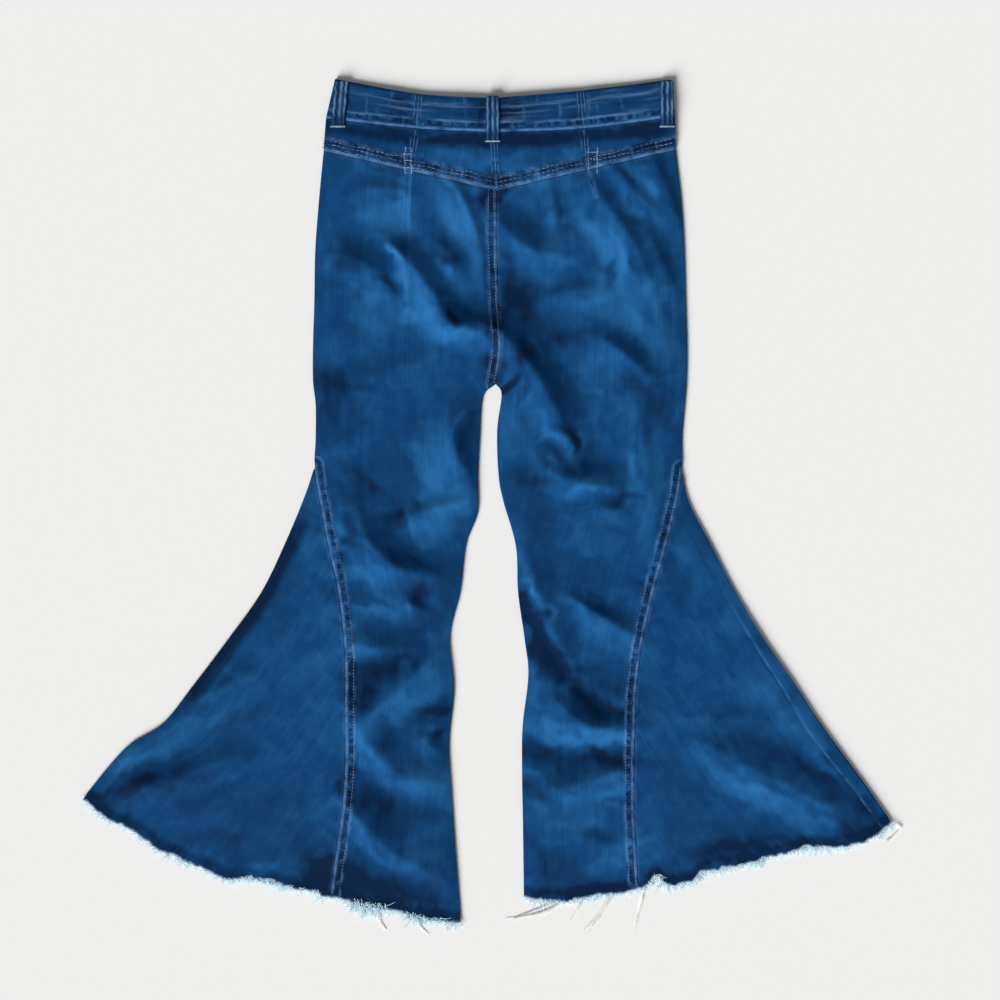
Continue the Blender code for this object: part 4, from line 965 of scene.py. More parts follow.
def makeSeamGroup():
    tree, (gap, along, band) = newGroup(
        "seamWearAndShade", {"Gap": 99.0, "Along": 0.0, "Band": 0.0}, ("Worn", "Dark"))
    place = joined(along, gap)
    patch, dash = noise(place, (0.05, 0.03, 1)), noise(place, (0.17, 0.10, 1))
    strayed = gap + (dash - 0.5) * 3.0

    def window(low, lowEnd, highStart, high):
        return gap.ramp(low, lowEnd) * (1 - gap.ramp(highStart, high)) * band

    edge = (1 - strayed.ramp(0.6, 3.4)) * patch.ramp(0.26, 0.6) * (band * 0.75 + 0.25)
    far = (1 - abs(strayed - 8.4).ramp(0.2, 1.9)) * band * patch.ramp(0.62, 0.36)
    flecks = dash.ramp(0.54, 0.68) * noise(place, (0.6, 0.45, 1)).ramp(0.35, 0.6)
    deep = (1 - dash).ramp(0.49, 0.60) * window(2.6, 3.8, 6.4, 8.4)
    # painted shadow: a dark line down the seam's ditch on the side that carries no band
    ditch = (1 - gap.ramp(0.2, 1.1)) * (1 - band)
    addNode(tree, "NodeGroupOutput", {
        "Worn": largest(edge, far * 0.6, flecks * window(1.0, 2.5, 7.0, 9.5) * 0.5),
        "Dark": largest(ditch * 0.85, deep * 0.8)})


def makeHemGroup():
    tree, (gap, along) = newGroup("rawHem", {"Gap": 99.0, "Along": 0.0}, ("Dark", "Frayed"))
    wander = noise(joined(along), (0.11, 1, 1))
    addNode(tree, "NodeGroupOutput", {
        "Dark": 1 - (gap + wander * -9.0).ramp(3.0, 13.0),
        "Frayed": (1 - gap.ramp(0.4, 2.6)) * wander.ramp(0.3, 0.6)})


def makeBandGroup():
    tree, (top, low, along) = newGroup(
        "bandWearAndShade", {"Top Gap": 99.0, "Low Gap": 99.0, "Along": 0.0}, ("Worn", "Dark"))
    place = joined(along, top)
    long, upright = noise(place, (0.016, 0.17, 1), 3), noise(place, (0.12, 0.03, 1))
    wander = (noise(place, (0.03, 0.02, 1)) - 0.5) * 7.0

    def line(gap, middle, width):
        return 1 - abs(gap + wander - middle).ramp(0.2, width)

    addNode(tree, "NodeGroupOutput", {
        "Worn": largest(line(top, 10.5, 3.6) * long.ramp(0.3, 0.62),
                        line(top, 19.0, 2.6) * long.ramp(0.42, 0.75),
                        line(low, 10.0, 2.6) * long.ramp(0.42, 0.7),
                        long.ramp(0.5, 0.8) * 0.7, upright.ramp(0.54, 0.8) * 0.6),
        # Dark: painted shade along the band's top edge, and random darker patches of unfaded dye
        "Dark": largest(line(top, 3.0, 4.0) * 0.8, (1 - long).ramp(0.55, 0.75))})


for makeGroup in (makeWeaveGroup, makeSeamGroup, makeHemGroup, makeBandGroup):
    makeGroup()


def startMaterial(name):
    material = bpy.data.materials.new(name)
    material.use_nodes = True
    return material, material.node_tree


def closeMaterial(material, color, roughness, height=None, strength=0.5, distance=0.0002,
                  metallic=0.0):
    tree = material.node_tree
    shader = setInputs(tree, tree.nodes["Principled BSDF"], {
        "Base Color": color, "Roughness": roughness, "Metallic": metallic,
        "Specular IOR Level": 0.08})
    if height:
        setInputs(tree, shader, {"Normal": outOf(tree, "ShaderNodeBump", {
            "Height": height, "Strength": strength, "Distance": distance})})
    return material


def denimMaterial(name, base=0.0, streaks=0.16, cloud=0.4, crosswise=0.08, topDark=0.0,
                  hem=False, sideSeam=False, plain=False, band=False):
    material, tree = startMaterial(name)
    grain = grainOf(tree)
    # tone carries painted shade and painted highlights along with wash fades and crest wear
    tone = attributeOf(tree, "fade") + base + attributeOf(tree, "crest") * denim["crestWearAndHighlight"]
    if topDark:
        tone = tone - (1 - attributeOf(tree, "topGap").ramp(*denim["topFade"])) * topDark
    if hem:
        edge = useGroup(tree, "rawHem", {"Gap": attributeOf(tree, "hemGap"),
                                         "Along": parted(grain)[0] * 1000.0})
        tone = tone - edge["Dark"] * denim["hemDark"]
    weave = useGroup(tree, "denimWeave", {"Grain": grain, "Fade": tone, "Streaks": streaks,
                                          "Cloud": cloud, "Crosswise": crosswise})
    color = weave["Color"]
    if band:
        wear = useGroup(tree, "bandWearAndShade", {
            "Top Gap": attributeOf(tree, "topGap"), "Low Gap": attributeOf(tree, "hemGap"),
            "Along": attributeOf(tree, "bandAlong")})
        # painted shade at the band's top edge comes in here with the band's darker patches
        color = blend(wear["Dark"] * denim["bandDark"], color, denim["deep"])
        color = blend(wear["Worn"] * denim["bandWorn"], color, denim["worn"])
    if not plain:
        wear = useGroup(tree, "seamWearAndShade", {name: attributeOf(tree, f"seam{name}")
                                           for name in ("Gap", "Along", "Band")})
        # Dark holds the painted shadow in the seam ditches and the dark dashes between the rows
        color = blend(wear["Dark"], color, denim["deep"])
        color = blend(wear["Worn"] * denim["seamWorn"], color, denim["worn"])
    if sideSeam:
        line = (1 - abs(attributeOf(tree, "sideGap")).ramp(0.5, 1.7)) * attributeOf(tree, "sideShown")
        color = blend(line * noise(grain, (60, 60, 1)).ramp(0.35, 0.75) * 0.45, color, denim["worn"])
    if hem:
        color = blend(edge["Frayed"] * denim["hemFrayed"], color, denim["frayed"])
    return closeMaterial(material, color, weave["Roughness"], weave["Height"], *denim["bump"])


materials = {
    "leg": denimMaterial("denim leg", hem=True),
    "godet": denimMaterial("denim godet", base=-0.02, hem=True, sideSeam=True),
    "yoke": denimMaterial("denim yoke", topDark=0.48),
    "band": denimMaterial("denim waistband", base=-0.14, streaks=0.12, cloud=0.35, crosswise=0.3,
                          band=True),
    "front": denimMaterial("denim front", plain=True, hem=True),
    "frontBand": denimMaterial("denim front waistband", base=-0.16, plain=True),
}
print("denim ready")

seamSteps = (0, 0.5, 1.1, 1.8, 2.6, 3.5, 4.5, 5.5, 6.5, 7.3, 8.1, 8.9, 9.8, 11.2)
waistRowWidth = 97              # usual width between two rows of the waist table
torn = {"size": (1.7, 1.3), "grain": (5, 17), "seeds": (31, 32), "below": 0.8, "fadeOut": 40}


def waistGrid(first, last, upper, lower, cell):
    columns = max(4, round((last - first) * waistRowWidth / cell)) + 1
    places = np.linspace(first, last, columns)
    ends = [waistLine(name, places) for name in (upper, lower)]
    rows = max(4, round(np.abs(ends[0] - ends[1]).max() / cell)) + 1
    share = np.linspace(0, 1, rows)[:, None, None]
    if upper == "top" and last == len(waist) - 1:
        ends[0][:, 1] -= cornerDrop(np.hypot(*(ends[0] - ends[0][-1]).T), cloth["waistCorner"])
    return ends[0] * (1 - share) + ends[1] * share


def cornerDrop(away, radius):
    return radius - np.sqrt(radius ** 2 - np.maximum(radius - away, 0) ** 2)


def legGrid(side, columnNames, places, cell, bow=(0.0, 1.0), rim=True):
    starts, ends = (legLine(side, column, places) for column in columnNames)
    across = ends - starts
    widths = np.hypot(*across.T)
    share = np.linspace(0, 1, max(4, round(widths.max() / cell)) + 1)
    if rim:
        fine = np.array(seamSteps) / widths.mean()
        share = np.concatenate([fine, share[(share > fine[-1]) & (share < 1 - fine[-1])],
                                1 - fine[::-1]])
    down = np.stack([across[:, 1], -across[:, 0]], 1) / widths[:, None]
    down *= -np.sign(down[:, 1])[:, None]
    hang = 4 * bow[0] * (widths / widths[-1]) ** 2
    arc = share ** bow[1] * (1 - share ** bow[1])
    grid = (starts[:, None] + across[:, None] * share[None, :, None]
            + down[:, None] * (hang[:, None] * arc[None])[..., None])
    if rim:
        hem, edge = grid[-1], np.array(hems[side], float)
        drop = torn["below"] + hem[:, 1] - np.interp(hem[:, 0], edge[:, 0], edge[:, 1])
        for size, grain, seed in zip(torn["size"], torn["grain"], torn["seeds"]):
            drop = drop + size * noiseAt(hem, grain, seed)
        near = ease(1 - np.hypot(*(grid - hem).transpose(2, 0, 1)) / torn["fadeOut"])
        grid[..., 1] -= near * drop[None]
    return grid


# Where the side seam lies inside the edge, how clear it is, how dark and soft its strip; on the left the
# strip is a painted shadow of the edge rolling over, on the right it is a little paler.
godetSides = {
    left: {"inside": 11.0, "bulge": 0.0, "wander": 2.5, "clear": 0.15, "dark": 0.56, "soft": 11.0,
           "darkEnd": 288},
    right: {"inside": 12.0, "bulge": 4.5, "wander": 0.8, "clear": 1.0, "dark": -0.10, "soft": 4.0,
            "darkEnd": 420},
}
yokes = {"left_side": (0, 1), "left_centre": (1, 2), "right_centre": (2, 3), "right_side": (3, 4)}
bands = {"left": (0, 1), "centre": (1, 3), "right": (3, 4)}
bandSeams = ["waistband", "band_dart_left", "band_dart_right"]
hemEdges, frontHems = {}, {}


def belowGodet(places, start, follow):       # the first row stands a little below the point
    return np.concatenate([[godetRow + start], places[places > godetRow + follow]])


def makeBack():
    made = {}

    def add(node, grid, carried, others=(), material="leg", slot="denim", ply="denim", **more):
        panel = {"layer": "back", "ply": cloth[ply], "bands": carried,
                 "seams": [*carried, *others], **more}
        made[node] = clothPiece(node, grid, panel, material)

    cell, places = cloth["cell"], legPlaces(cloth["cell"])
    below = belowGodet(places, 0.12, 0.2)
    for side in legs:
        grid = legGrid(side, (seamColumn, innerColumn), places, cell)
        inner = ["centre", f"hip_dart_{side}"] if side == left else [f"hip_dart_{side}", "centre"]
        add(f"back_leg_{side}", grid, [f"godet_{side}", inner[0]], [f"yoke_{side}", inner[1]])
        hem = grid[-1][1:]
        grid = legGrid(side, (edgeColumn, seamColumn), below, cell, hemBow[side])
        edgeLine = legLine(side, edgeColumn, godetPlaces)
        add(f"godet_back_{side}", grid, [], [f"godet_{side}"], "godet",
            sideSeam=(edgeLine, godetSides[side]))
        hemEdges[side] = np.concatenate([grid[-1], hem])
    for name, (first, last) in yokes.items():
        side = name.split("_")[0]
        add(f"yoke_{name}", waistGrid(first, last, "band", "yoke", cloth["yokeCell"]),
            [f"yoke_{side}", f"dart_{side}", "yoke_centre"], ["waistband"], "yoke")
    for name, (first, last) in bands.items():
        add(f"waistband_back_{name}", waistGrid(first, last, "top", "band", cloth["bandCell"]),
            bandSeams, [], "band", "dark_denim", "band", waistEdge=True)
    return made


def shortened(grid):
    step = grid[-2] - grid[-1]
    grid[-1] += step / np.hypot(*step.T)[:, None] * frontWaist["hemShort"]
    return grid


def makeFront():
    made = {}
    centre, cell, places = frontWaist["centreX"], cloth["frontCell"], legPlaces(cloth["frontCell"])
    below = belowGodet(places, 0.2, 0.4)
    panel = {"layer": "front", "ply": cloth["denim"], "seams": [], "bands": []}
    for side in legs:
        top, seam = waist[0 if side == left else -1][:2]
        leg = legGrid(side, (seamColumn, innerColumn), places, cell, rim=False)
        x = np.linspace(seam[0], centre, leg.shape[1])
        leg[0] = np.column_stack([x, frontWaistLine(x)[1]])
        leg = shortened(leg)
        made[f"front_leg_{side}"] = clothPiece(f"front_leg_{side}", leg, panel, "front")
        godet = shortened(legGrid(side, (edgeColumn, seamColumn), below, cell, hemBow[side],
                                  rim=False))
        frontHems[side] = np.concatenate([godet[-1], leg[-1][1:]])
        made[f"godet_front_{side}"] = clothPiece(f"godet_front_{side}", godet, panel, "front")
        end = centre + frontWaist["lap"] * (1 if side == left else -1)
        columns, rows = frontWaist["cells"]
        x = np.linspace(seam[0], end, columns)
        shift = (top[0] - seam[0]) * np.clip((x - centre) / (seam[0] - centre), 0, 1) ** 2
        share = np.linspace(0, 1, rows)[:, None, None]
        high, low = frontWaistLine(x)
        grid = np.column_stack([x + shift, high]) * (1 - share) + np.column_stack([x, low]) * share
        made[f"waistband_front_{side}"] = clothPiece(
            f"waistband_front_{side}", grid,
            {**panel, "ply": cloth["band"], "lapped": side == right}, "frontBand")
    return made


backPieces = makeBack()
print("back panels made")
frontPieces = makeFront()
print("front panels made")
for node, piece in {**backPieces, **frontPieces}.items():
    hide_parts(node)


def newTree(name, inputs):
    tree = bpy.data.node_groups.new(name, "GeometryNodeTree")
    for label, kind in {"Geometry": "Geometry", **inputs, "Material": "Material"}.items():
        tree.interface.new_socket(label, in_out="INPUT", socket_type=f"NodeSocket{kind}")
    tree.interface.new_socket("Geometry", in_out="OUTPUT", socket_type="NodeSocketGeometry")
    return tree, addNode(tree, "NodeGroupInput").outputs


def closeTree(tree, given, instances):
    realized = outOf(tree, "GeometryNodeRealizeInstances", {"Geometry": instances})
    addNode(tree, "NodeGroupOutput", {"Geometry": outOf(tree, "GeometryNodeSetMaterial", {
        "Geometry": realized, "Material": given["Material"]})})
    return tree


def bakeNodes(name, mesh, tree, values, material):
    carrier = addObject(name + "_points", mesh)
    modifier = carrier.modifiers.new("repeats", "NODES")
    modifier.node_group = tree
    values = {**values, "Material": material}
    for item in tree.interface.items_tree:
        if item.in_out == "INPUT" and item.name in values:
            modifier[item.identifier] = values[item.name]
    graph = bpy.context.evaluated_depsgraph_get()
    baked = bpy.data.meshes.new_from_object(carrier.evaluated_get(graph), depsgraph=graph)
    bpy.data.objects.remove(carrier)
    baked.name = name
    return finishPiece(name, baked, material)


def randomVector(tree, low, high, seed):
    return outOf(tree, "FunctionNodeRandomValue", {0: low, 1: high, "Seed": seed},
                 data_type="FLOAT_VECTOR")


stitchForm = {"sway": 0.16, "seeds": (3, 4), "least": (0.8, 0.8, 0.9), "most": (1.1, 1.2, 1.1)}


def makeStitchTree():
    tree, given = newTree("stitchRow", {"Pitch": "Float", "Size": "Vector", "Turn": "Float"})
    curve = outOf(tree, "GeometryNodeMeshToCurve", {"Mesh": given["Geometry"]})
    spaced = outOf(tree, "GeometryNodeResampleCurve", {"Curve": curve, "Length": given["Pitch"]},
                   mode="LENGTH")
    aligned = outOf(tree, "FunctionNodeAlignRotationToVector",
                    {"Vector": outOf(tree, "GeometryNodeInputTangent")}, axis="X")
    turn = outOf(tree, "ShaderNodeCombineXYZ", {"Z": given["Turn"]})
    sway = randomVector(tree, (0, 0, -stitchForm["sway"]), (0, 0, stitchForm["sway"]),
                        stitchForm["seeds"][0])
    turn = outOf(tree, "ShaderNodeVectorMath", {0: turn, 1: sway}, operation="ADD")
    turned = outOf(tree, "FunctionNodeRotateRotation", {"Rotation": aligned, "Rotate By": turn},
                   rotation_space="LOCAL")
    bead = outOf(tree, "GeometryNodeMeshUVSphere", {"Segments": 6, "Rings": 4, "Radius": 0.5})
    sized = outOf(tree, "GeometryNodeTransform", {"Geometry": bead, "Scale": given["Size"]})
    return closeTree(tree, given, outOf(tree, "GeometryNodeInstanceOnPoints", {
        "Points": spaced, "Instance": sized, "Rotation": turned, "Scale": randomVector(
            tree, stitchForm["least"], stitchForm["most"], stitchForm["seeds"][1])}))


def makeFrayTree():
    tree, given = newTree("frayedEdge", {"Strands": "Collection"})
    tilt, turn, size = (outOf(tree, "GeometryNodeInputNamedAttribute", {"Name": name},
                              data_type="FLOAT") for name in ("tilt", "turn", "size"))
    strands = outOf(tree, "GeometryNodeCollectionInfo", {
        "Collection": given["Strands"], "Separate Children": True, "Reset Children": True})
    return closeTree(tree, given, outOf(tree, "GeometryNodeInstanceOnPoints", {
        "Points": outOf(tree, "GeometryNodeMeshToPoints", {"Mesh": given["Geometry"]}),
        "Instance": strands, "Pick Instance": True,
        "Rotation": outOf(tree, "ShaderNodeCombineXYZ", {"Y": tilt, "Z": turn}),
        "Scale": outOf(tree, "ShaderNodeCombineXYZ", {"X": size, "Y": 1.0, "Z": 1.0})}))


loopForm = {"width": 15.0, "length": 53.0, "wall": 1.4, "arch": 1.0, "corner": 2.0,
            "edge": 0.9, "cells": (58, 31), "calm": 4, "below": 4,
            "ridges": (-0.37, 0.03, 0.38), "ridgeWidths": (0.13, 0.16, 0.14), "ridgeHalf": 0.09,
            "ridgeHeight": 0.35, "ridgeSunk": 0.14, "wornColor": (0.15, 0.29, 0.46)}
loops = {
    "loop_back_centre": {"centre": (7.0, 432.5), "lean": 0.0,
                         "over": ("waistband_back_centre", "yoke_left_centre", "yoke_right_centre")},
    "loop_side_left": {"centre": (-164.5, 449.5), "lean": -4.3,
                       "over": ("waistband_back_left", "yoke_left_side")},
    "loop_side_right": {"centre": (202.5, 449.5), "lean": 0.0,
                        "over": ("waistband_back_right", "yoke_right_side")},
    "loop_front_left": {"centre": (-76.0, 0.0), "lean": 0.0},
    "loop_front_right": {"centre": (102.0, 0.0), "lean": 0.0},
}
surfaces = {}


def heightOver(points, names):
    graph = bpy.context.evaluated_depsgraph_get()
    best = np.full(len(points), -np.inf)
    for name in names:
        if name not in surfaces:
            surfaces[name] = BVHTree.FromObject(backPieces[name], graph)
        for place, (x, y) in enumerate(points):
            hit = surfaces[name].ray_cast(Vector((x * mm, y * mm, 0.1)), Vector((0, 0, -1)))[0]
            if hit is not None:
                best[place] = max(best[place], hit.z / mm)
    return best


def loopRelief(across):
    ridges = sum(bell(across - place, loopForm["ridgeHalf"]) for place in loopForm["ridges"])
    return loopForm["ridgeHeight"] * ridges - loopForm["ridgeSunk"]


def makeLoop(name, loop):
    rows, columns = loopForm["cells"]
    share, across = np.linspace(0, 1, rows)[:, None], np.linspace(-0.5, 0.5, columns)[None]
    centreX, centreY = loop["centre"]
    if "over" not in loop:
        centreY = (sum(line[0] for line in frontWaistLine(np.array([centreX]))) / 2
                   - loopForm["below"])
    x = centreX + across * loopForm["width"] + loop["lean"] * (share - 0.5)
    y = centreY + loopForm["length"] * (0.5 - share) + across * 0
    y = y - (cornerDrop((0.5 - np.abs(across)) * loopForm["width"], loopForm["corner"])
             * np.sign(0.5 - share))
    grid = np.stack([x + share * 0, y], -1)
    points = grid.reshape(-1, 2)
    edge = np.minimum(0.5 - np.abs(across), 0.5) * loopForm["width"] + share * 0
    end = np.minimum(share, 1 - share) * loopForm["length"] + across * 0
    rounding = rounded(np.minimum(edge, end), loopForm["edge"], 0)
    wall = loopForm["wall"] * (0.5 + 0.5 * rounding)
    relief = (loopRelief(across) + share * 0) * rounding
    if "over" in loop:
        rest = heightOver(points, loop["over"]).reshape(grid.shape[:2]).max(axis=1)
        found = np.isfinite(rest)
        rest = np.interp(np.arange(len(rest)), np.where(found)[0], rest[found])
        near = loopForm["calm"]
        window = 2 * near + 1
        high = np.array([rest[max(0, row - near):row + near + 1].max() for row in range(len(rest))])
        calm = np.convolve(np.pad(high, near, mode="edge"), np.ones(window) / window, "valid")
        low = np.maximum(calm, rest)[:, None] + cloth["layerGap"] + across * 0
        low = low + loopForm["arch"] * np.sin(math.pi * share) ** 2
        high = low + wall + relief
    else:
        rise = frontWaist["rest"] - cloth["layerGap"] - loopForm["wall"]
        low = rise * ease((np.abs(share - 0.5) * 2 - 0.6) / 0.4) + across * 0
        high = low + loopForm["wall"]
        low = low + 0.2 - np.clip(relief, -0.2, 0.2)
    piece = shell(f"{name}_strip", grid, low.reshape(-1), high.reshape(-1), materials["loop"],
                  {"across": (across + share * 0).reshape(-1),
                                 "down": (share + across * 0).reshape(-1)})
    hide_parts(name)
    return piece


def loopMaterial():
    material, tree = startMaterial("denim belt loop")
    weave = useGroup(tree, "denimWeave", {"Grain": grainOf(tree), "Fade": 0.02, "Streaks": 0.3,
                                          "Cloud": 0.5})
    place = placeOf(tree)
    across = attributeOf(tree, "across") + (noise(place, (60, 130, 60)) - 0.5) * 0.22
    lines = largest(*(1 - abs(across - middle).ramp(0.0, width)
                      for middle, width in zip(loopForm["ridges"], loopForm["ridgeWidths"])))
    worn = lines * noise(place, (170, 70, 170), 3).ramp(0.26, 0.62)
    color = blend((1 - lines) * 0.55, weave["Color"], denim["deep"])
    color = blend(worn * 0.9, color, loopForm["wornColor"])
    color = blend(attributeOf(tree, "down").ramp(0.60, 0.86) * 0.8, color, denim["deep"])
    return closeMaterial(material, color, denim["roughness"], weave["Height"], *denim["bump"])


materials["loop"] = loopMaterial()
for name, loop in loops.items():
    makeLoop(name, loop)
print("belt loops made")

knots = {                        # where the darts cross the yoke's seam: uprights, bars, carriers
    left: {"uprights": (-91.5, -84.5), "bars": (394.0, 386.5, 379.0), "low": 372.0, "high": 400.0,
           "over": ("yoke_left_side", "yoke_left_centre", "back_leg_left")},
    right: {"uprights": (114.5, 124.0), "bars": (396.0, 388.0), "low": 372.0, "high": 400.0,
            "over": ("yoke_right_centre", "yoke_right_side", "back_leg_right")},
}
threads = {                      # a stitch's size, the two colours of its thread, how far rows stray
    "topstitching": {"pitch": 3.6, "size": (3.1, 0.8, 0.55), "stray": 0.3,
                     "colors": ((0.085, 0.12, 0.25), (0.20, 0.27, 0.40))},
    "yoke_stitching": {"pitch": 5.4, "size": (5.0, 1.2, 0.7), "stray": 0.9,
                       "colors": ((0.04, 0.06, 0.14), (0.15, 0.20, 0.34))},
    "waist_stitching": {"pitch": 3.6, "size": (3.0, 0.8, 0.5), "stray": 0.3,
                        "colors": ((0.008, 0.03, 0.09), (0.05, 0.11, 0.23))},
    "knots": {"pitch": 2.6, "size": (2.9, 1.5, 0.8), "stray": 1.1,
              "colors": ((0.12, 0.21, 0.36), (0.33, 0.45, 0.60))},
    "bar_tacks": {"pitch": 0.75, "size": (2.4, 0.8, 0.8), "turn": 90.0, "mottle": 300.0,
                  "colors": ((0.46, 0.54, 0.60), (0.24, 0.34, 0.44))},
}
rowForm = {"coarse": 4.0, "step": 1.2, "lift": 0.12, "wander": 9, "lean": 1.0, "seed": 60}
knotForm = {"past": 1, "step": 1.0, "lift": 0.2, "wander": 7, "lean": 0.4, "seed": 90}
tackForm = {"half": 0.52, "inside": 1.4, "lift": 0.45, "points": 16}


def threadMaterial(name, colors, scale):
    material, tree = startMaterial(name)
    place = placeOf(tree)
    color = blend(noise(place, scale, 3).ramp(0.36, 0.64), *colors)
    return closeMaterial(material, color, 0.8, noise(place, (2600.0, 780.0, 2600.0), 1))


def offsetRow(line, distance):
    step = np.gradient(line, axis=0)
    normal = np.stack([step[:, 1], -step[:, 0]], 1) / np.hypot(*step.T)[:, None]
    return line + normal * distance


def evenRow(line, gap):
    lengths = np.concatenate([[0], np.cumsum(np.hypot(*np.diff(line, axis=0).T))])
    places = np.arange(0, lengths[-1], gap)
    return np.column_stack([np.interp(places, lengths, line[:, 0]),
                            np.interp(places, lengths, line[:, 1])])


yokeSides = {left: ("yoke_left_side", "yoke_left_centre"),
             right: ("yoke_right_centre", "yoke_right_side")}
bandPieces = ("waistband_back_left", "waistband_back_centre", "waistband_back_right")
seamRows = (                     # thread, line, distances to its right when followed, carriers
    ("topstitching", "godet_left", (-2.4, -9.2), ("back_leg_left",)),
    ("topstitching", "godet_right", (2.4, 9.2), ("back_leg_right",)),
    ("topstitching", "centre", (2.4, 8.8), ("back_leg_left",)),
    ("yoke_stitching", "yoke_left", (-3.4, -8.0, -12.6), yokeSides[left]),
    ("yoke_stitching", "yoke_right", (-3.4, -8.0, -12.6), yokeSides[right]),
    ("waist_stitching", "waist_top", (10.5,), bandPieces),
    ("waist_stitching", "waistband", (-3.0,), bandPieces),
    ("waist_stitching", "dart_left", (1.4,), yokeSides[left]),
    ("waist_stitching", "dart_right", (-1.4,), yokeSides[right]),
    ("waist_stitching", "hip_dart_left", (1.4,), ("back_leg_left",)),
    ("waist_stitching", "hip_dart_right", (1.4,), ("back_leg_right",)),
)
seams["waist_top"] = {"line": waistLine("top", alongWaist(80))}
stitchRows = [(thread, seams[name]["line"], distance, carriers)
              for thread, name, distances, carriers in seamRows for distance in distances]


def rowsMesh(name, rows):
    verts, edges = [], []
    for points, lift in rows:
        heights = points[:, 2]
        for start, (x, y, z) in enumerate(points):
            verts.append((x * mm, y * mm, (z + lift) * mm))
            if start and np.isfinite([z, heights[start - 1]]).all():
                edges.append((len(verts) - 2, len(verts) - 1))
    used = sorted({index for edge in edges for index in edge})
    place = {index: new for new, index in enumerate(used)}
    mesh = bpy.data.meshes.new(name)
    mesh.from_pydata([verts[index] for index in used],
                     [(place[a], place[b]) for a, b in edges], [])
    return mesh


def onCloth(points, carriers, thread, form, number):
    wander = threads[thread]["stray"] * noiseAt(points, form["wander"], form["seed"] + number)
    points = points + np.outer(wander, (1, form["lean"]))
    return np.column_stack([points, heightOver(points, carriers)]), form["lift"]


def makeStitches():
    rows = {name: [] for name in threads}
    for number, (name, line, distance, carriers) in enumerate(stitchRows):
        points = evenRow(offsetRow(evenRow(line, rowForm["coarse"]), distance), rowForm["step"])
        rows[name].append(onCloth(points, carriers, name, rowForm, number))
    for knot in knots.values():
        (first, last), past = knot["uprights"], knotForm["past"]
        lines = [((x, knot["high"]), (x, knot["low"])) for x in (first, last)]
        lines += [((first - past, y), (last + past, y)) for y in knot["bars"]]
        for number, line in enumerate(lines):
            points = evenRow(np.array(line, float), knotForm["step"])
            rows["knots"].append(onCloth(points, knot["over"], "knots", knotForm, number))
    for loop in loops.values():
        if "over" in loop:
            (centreX, centreY), count = loop["centre"], tackForm["points"]
            x = np.linspace(-tackForm["half"], tackForm["half"], count) * loopForm["width"]
            x = x + centreX + loop["lean"] / 2
            foot = np.full(count, centreY - loopForm["length"] / 2 + tackForm["inside"])
            height = heightOver(np.column_stack([x, foot]), loop["over"]).max()
            height = np.full(count, height + loopForm["wall"] + tackForm["lift"])
            rows["bar_tacks"].append((np.column_stack([x, foot, height]), 0.0))
    tree = makeStitchTree()
    for name, thread in threads.items():
        cotton = threadMaterial(f"{name} thread", thread["colors"], thread.get("mottle", 60.0))
        bakeNodes(name, rowsMesh(f"{name}_rows", rows[name]), tree,
                  {"Pitch": thread["pitch"] * mm, "Size": [x * mm for x in thread["size"]],
                   "Turn": math.radians(thread.get("turn", 0.0))}, cotton)


makeStitches()
print("stitching made")

strandForm = {"kinds": 7, "points": 6, "radius": 0.34, "taper": 0.45, "length": 10.0, "root": 0.12,
              "curl": 4.6, "lift": (-0.2, 0.8), "seed": 5}
fray = {"gap": 0.6, "frontGap": 1.2, "reach": 0.8, "frontReach": 0.55,
        "colors": ((0.62, 0.84, 0.92), (0.09, 0.24, 0.42)), "inside": (0.2, 1.6),
        "above": (0.3, 0.9), "overCloth": 0.5, "sizes": (0.45, 1.15), "least": 0.15, "turn": 0.5,
        "droop": (0.1, 0.95), "tufts": ((0.45, 6), (0.3, 21)), "shades": (0.8, 2.4), "seed": 40}
frayZones = {                    # where the edge is frayed further: x, half width, added share
    left: ((-133, 22, 1.2), (-64, 28, 1.0), (-205, 34, 0.5), (-352, 22, 0.4), (-440, 18, 0.2)),
    right: ((195, 9, 1.1), (262, 50, 0.4), (384, 34, 0.4), (445, 12, 0.6), (60, 26, 0.4)),
}
tangles = {                      # threads that lie over the cloth: x, half width, how many, depth
    left: ((-131, 20, 85, 6), (-66, 24, 66, 3), (-270, 26, 30, 2), (-205, 20, 30, 3)),
    right: ((195, 8, 30, 3), (80, 20, 20, 2)),
}
bundle = {"threads": 4, "radius": 0.42, "taper": 0.4, "spread": 1.5, "points": 14, "sway": 0.7,
          "waves": (3, 7), "lengths": (0.78, 1.0), "rest": 0.5, "lift": 1.8, "seed": 9,
          "color": (0.95, 0.93, 0.90)}
looseEnds = (                    # bundles of long ends, from the hem outwards
    ((88, -443), (70, -455), (48, -461), (21, -464)), ((84, -444), (64, -452), (40, -462), (28, -467)),
    ((107, -441), (101, -455), (91, -470)), ((142, -436), (130, -458), (111, -484)),
    ((139, -437), (124, -462), (108, -480)), ((177, -430), (172, -455), (166, -479)),
    ((452, -358), (466, -362), (460, -370), (448, -379)), ((-122, -453), (-120, -467), (-112, -479)),
    ((-80, -461), (-76, -472), (-66, -485)),
)


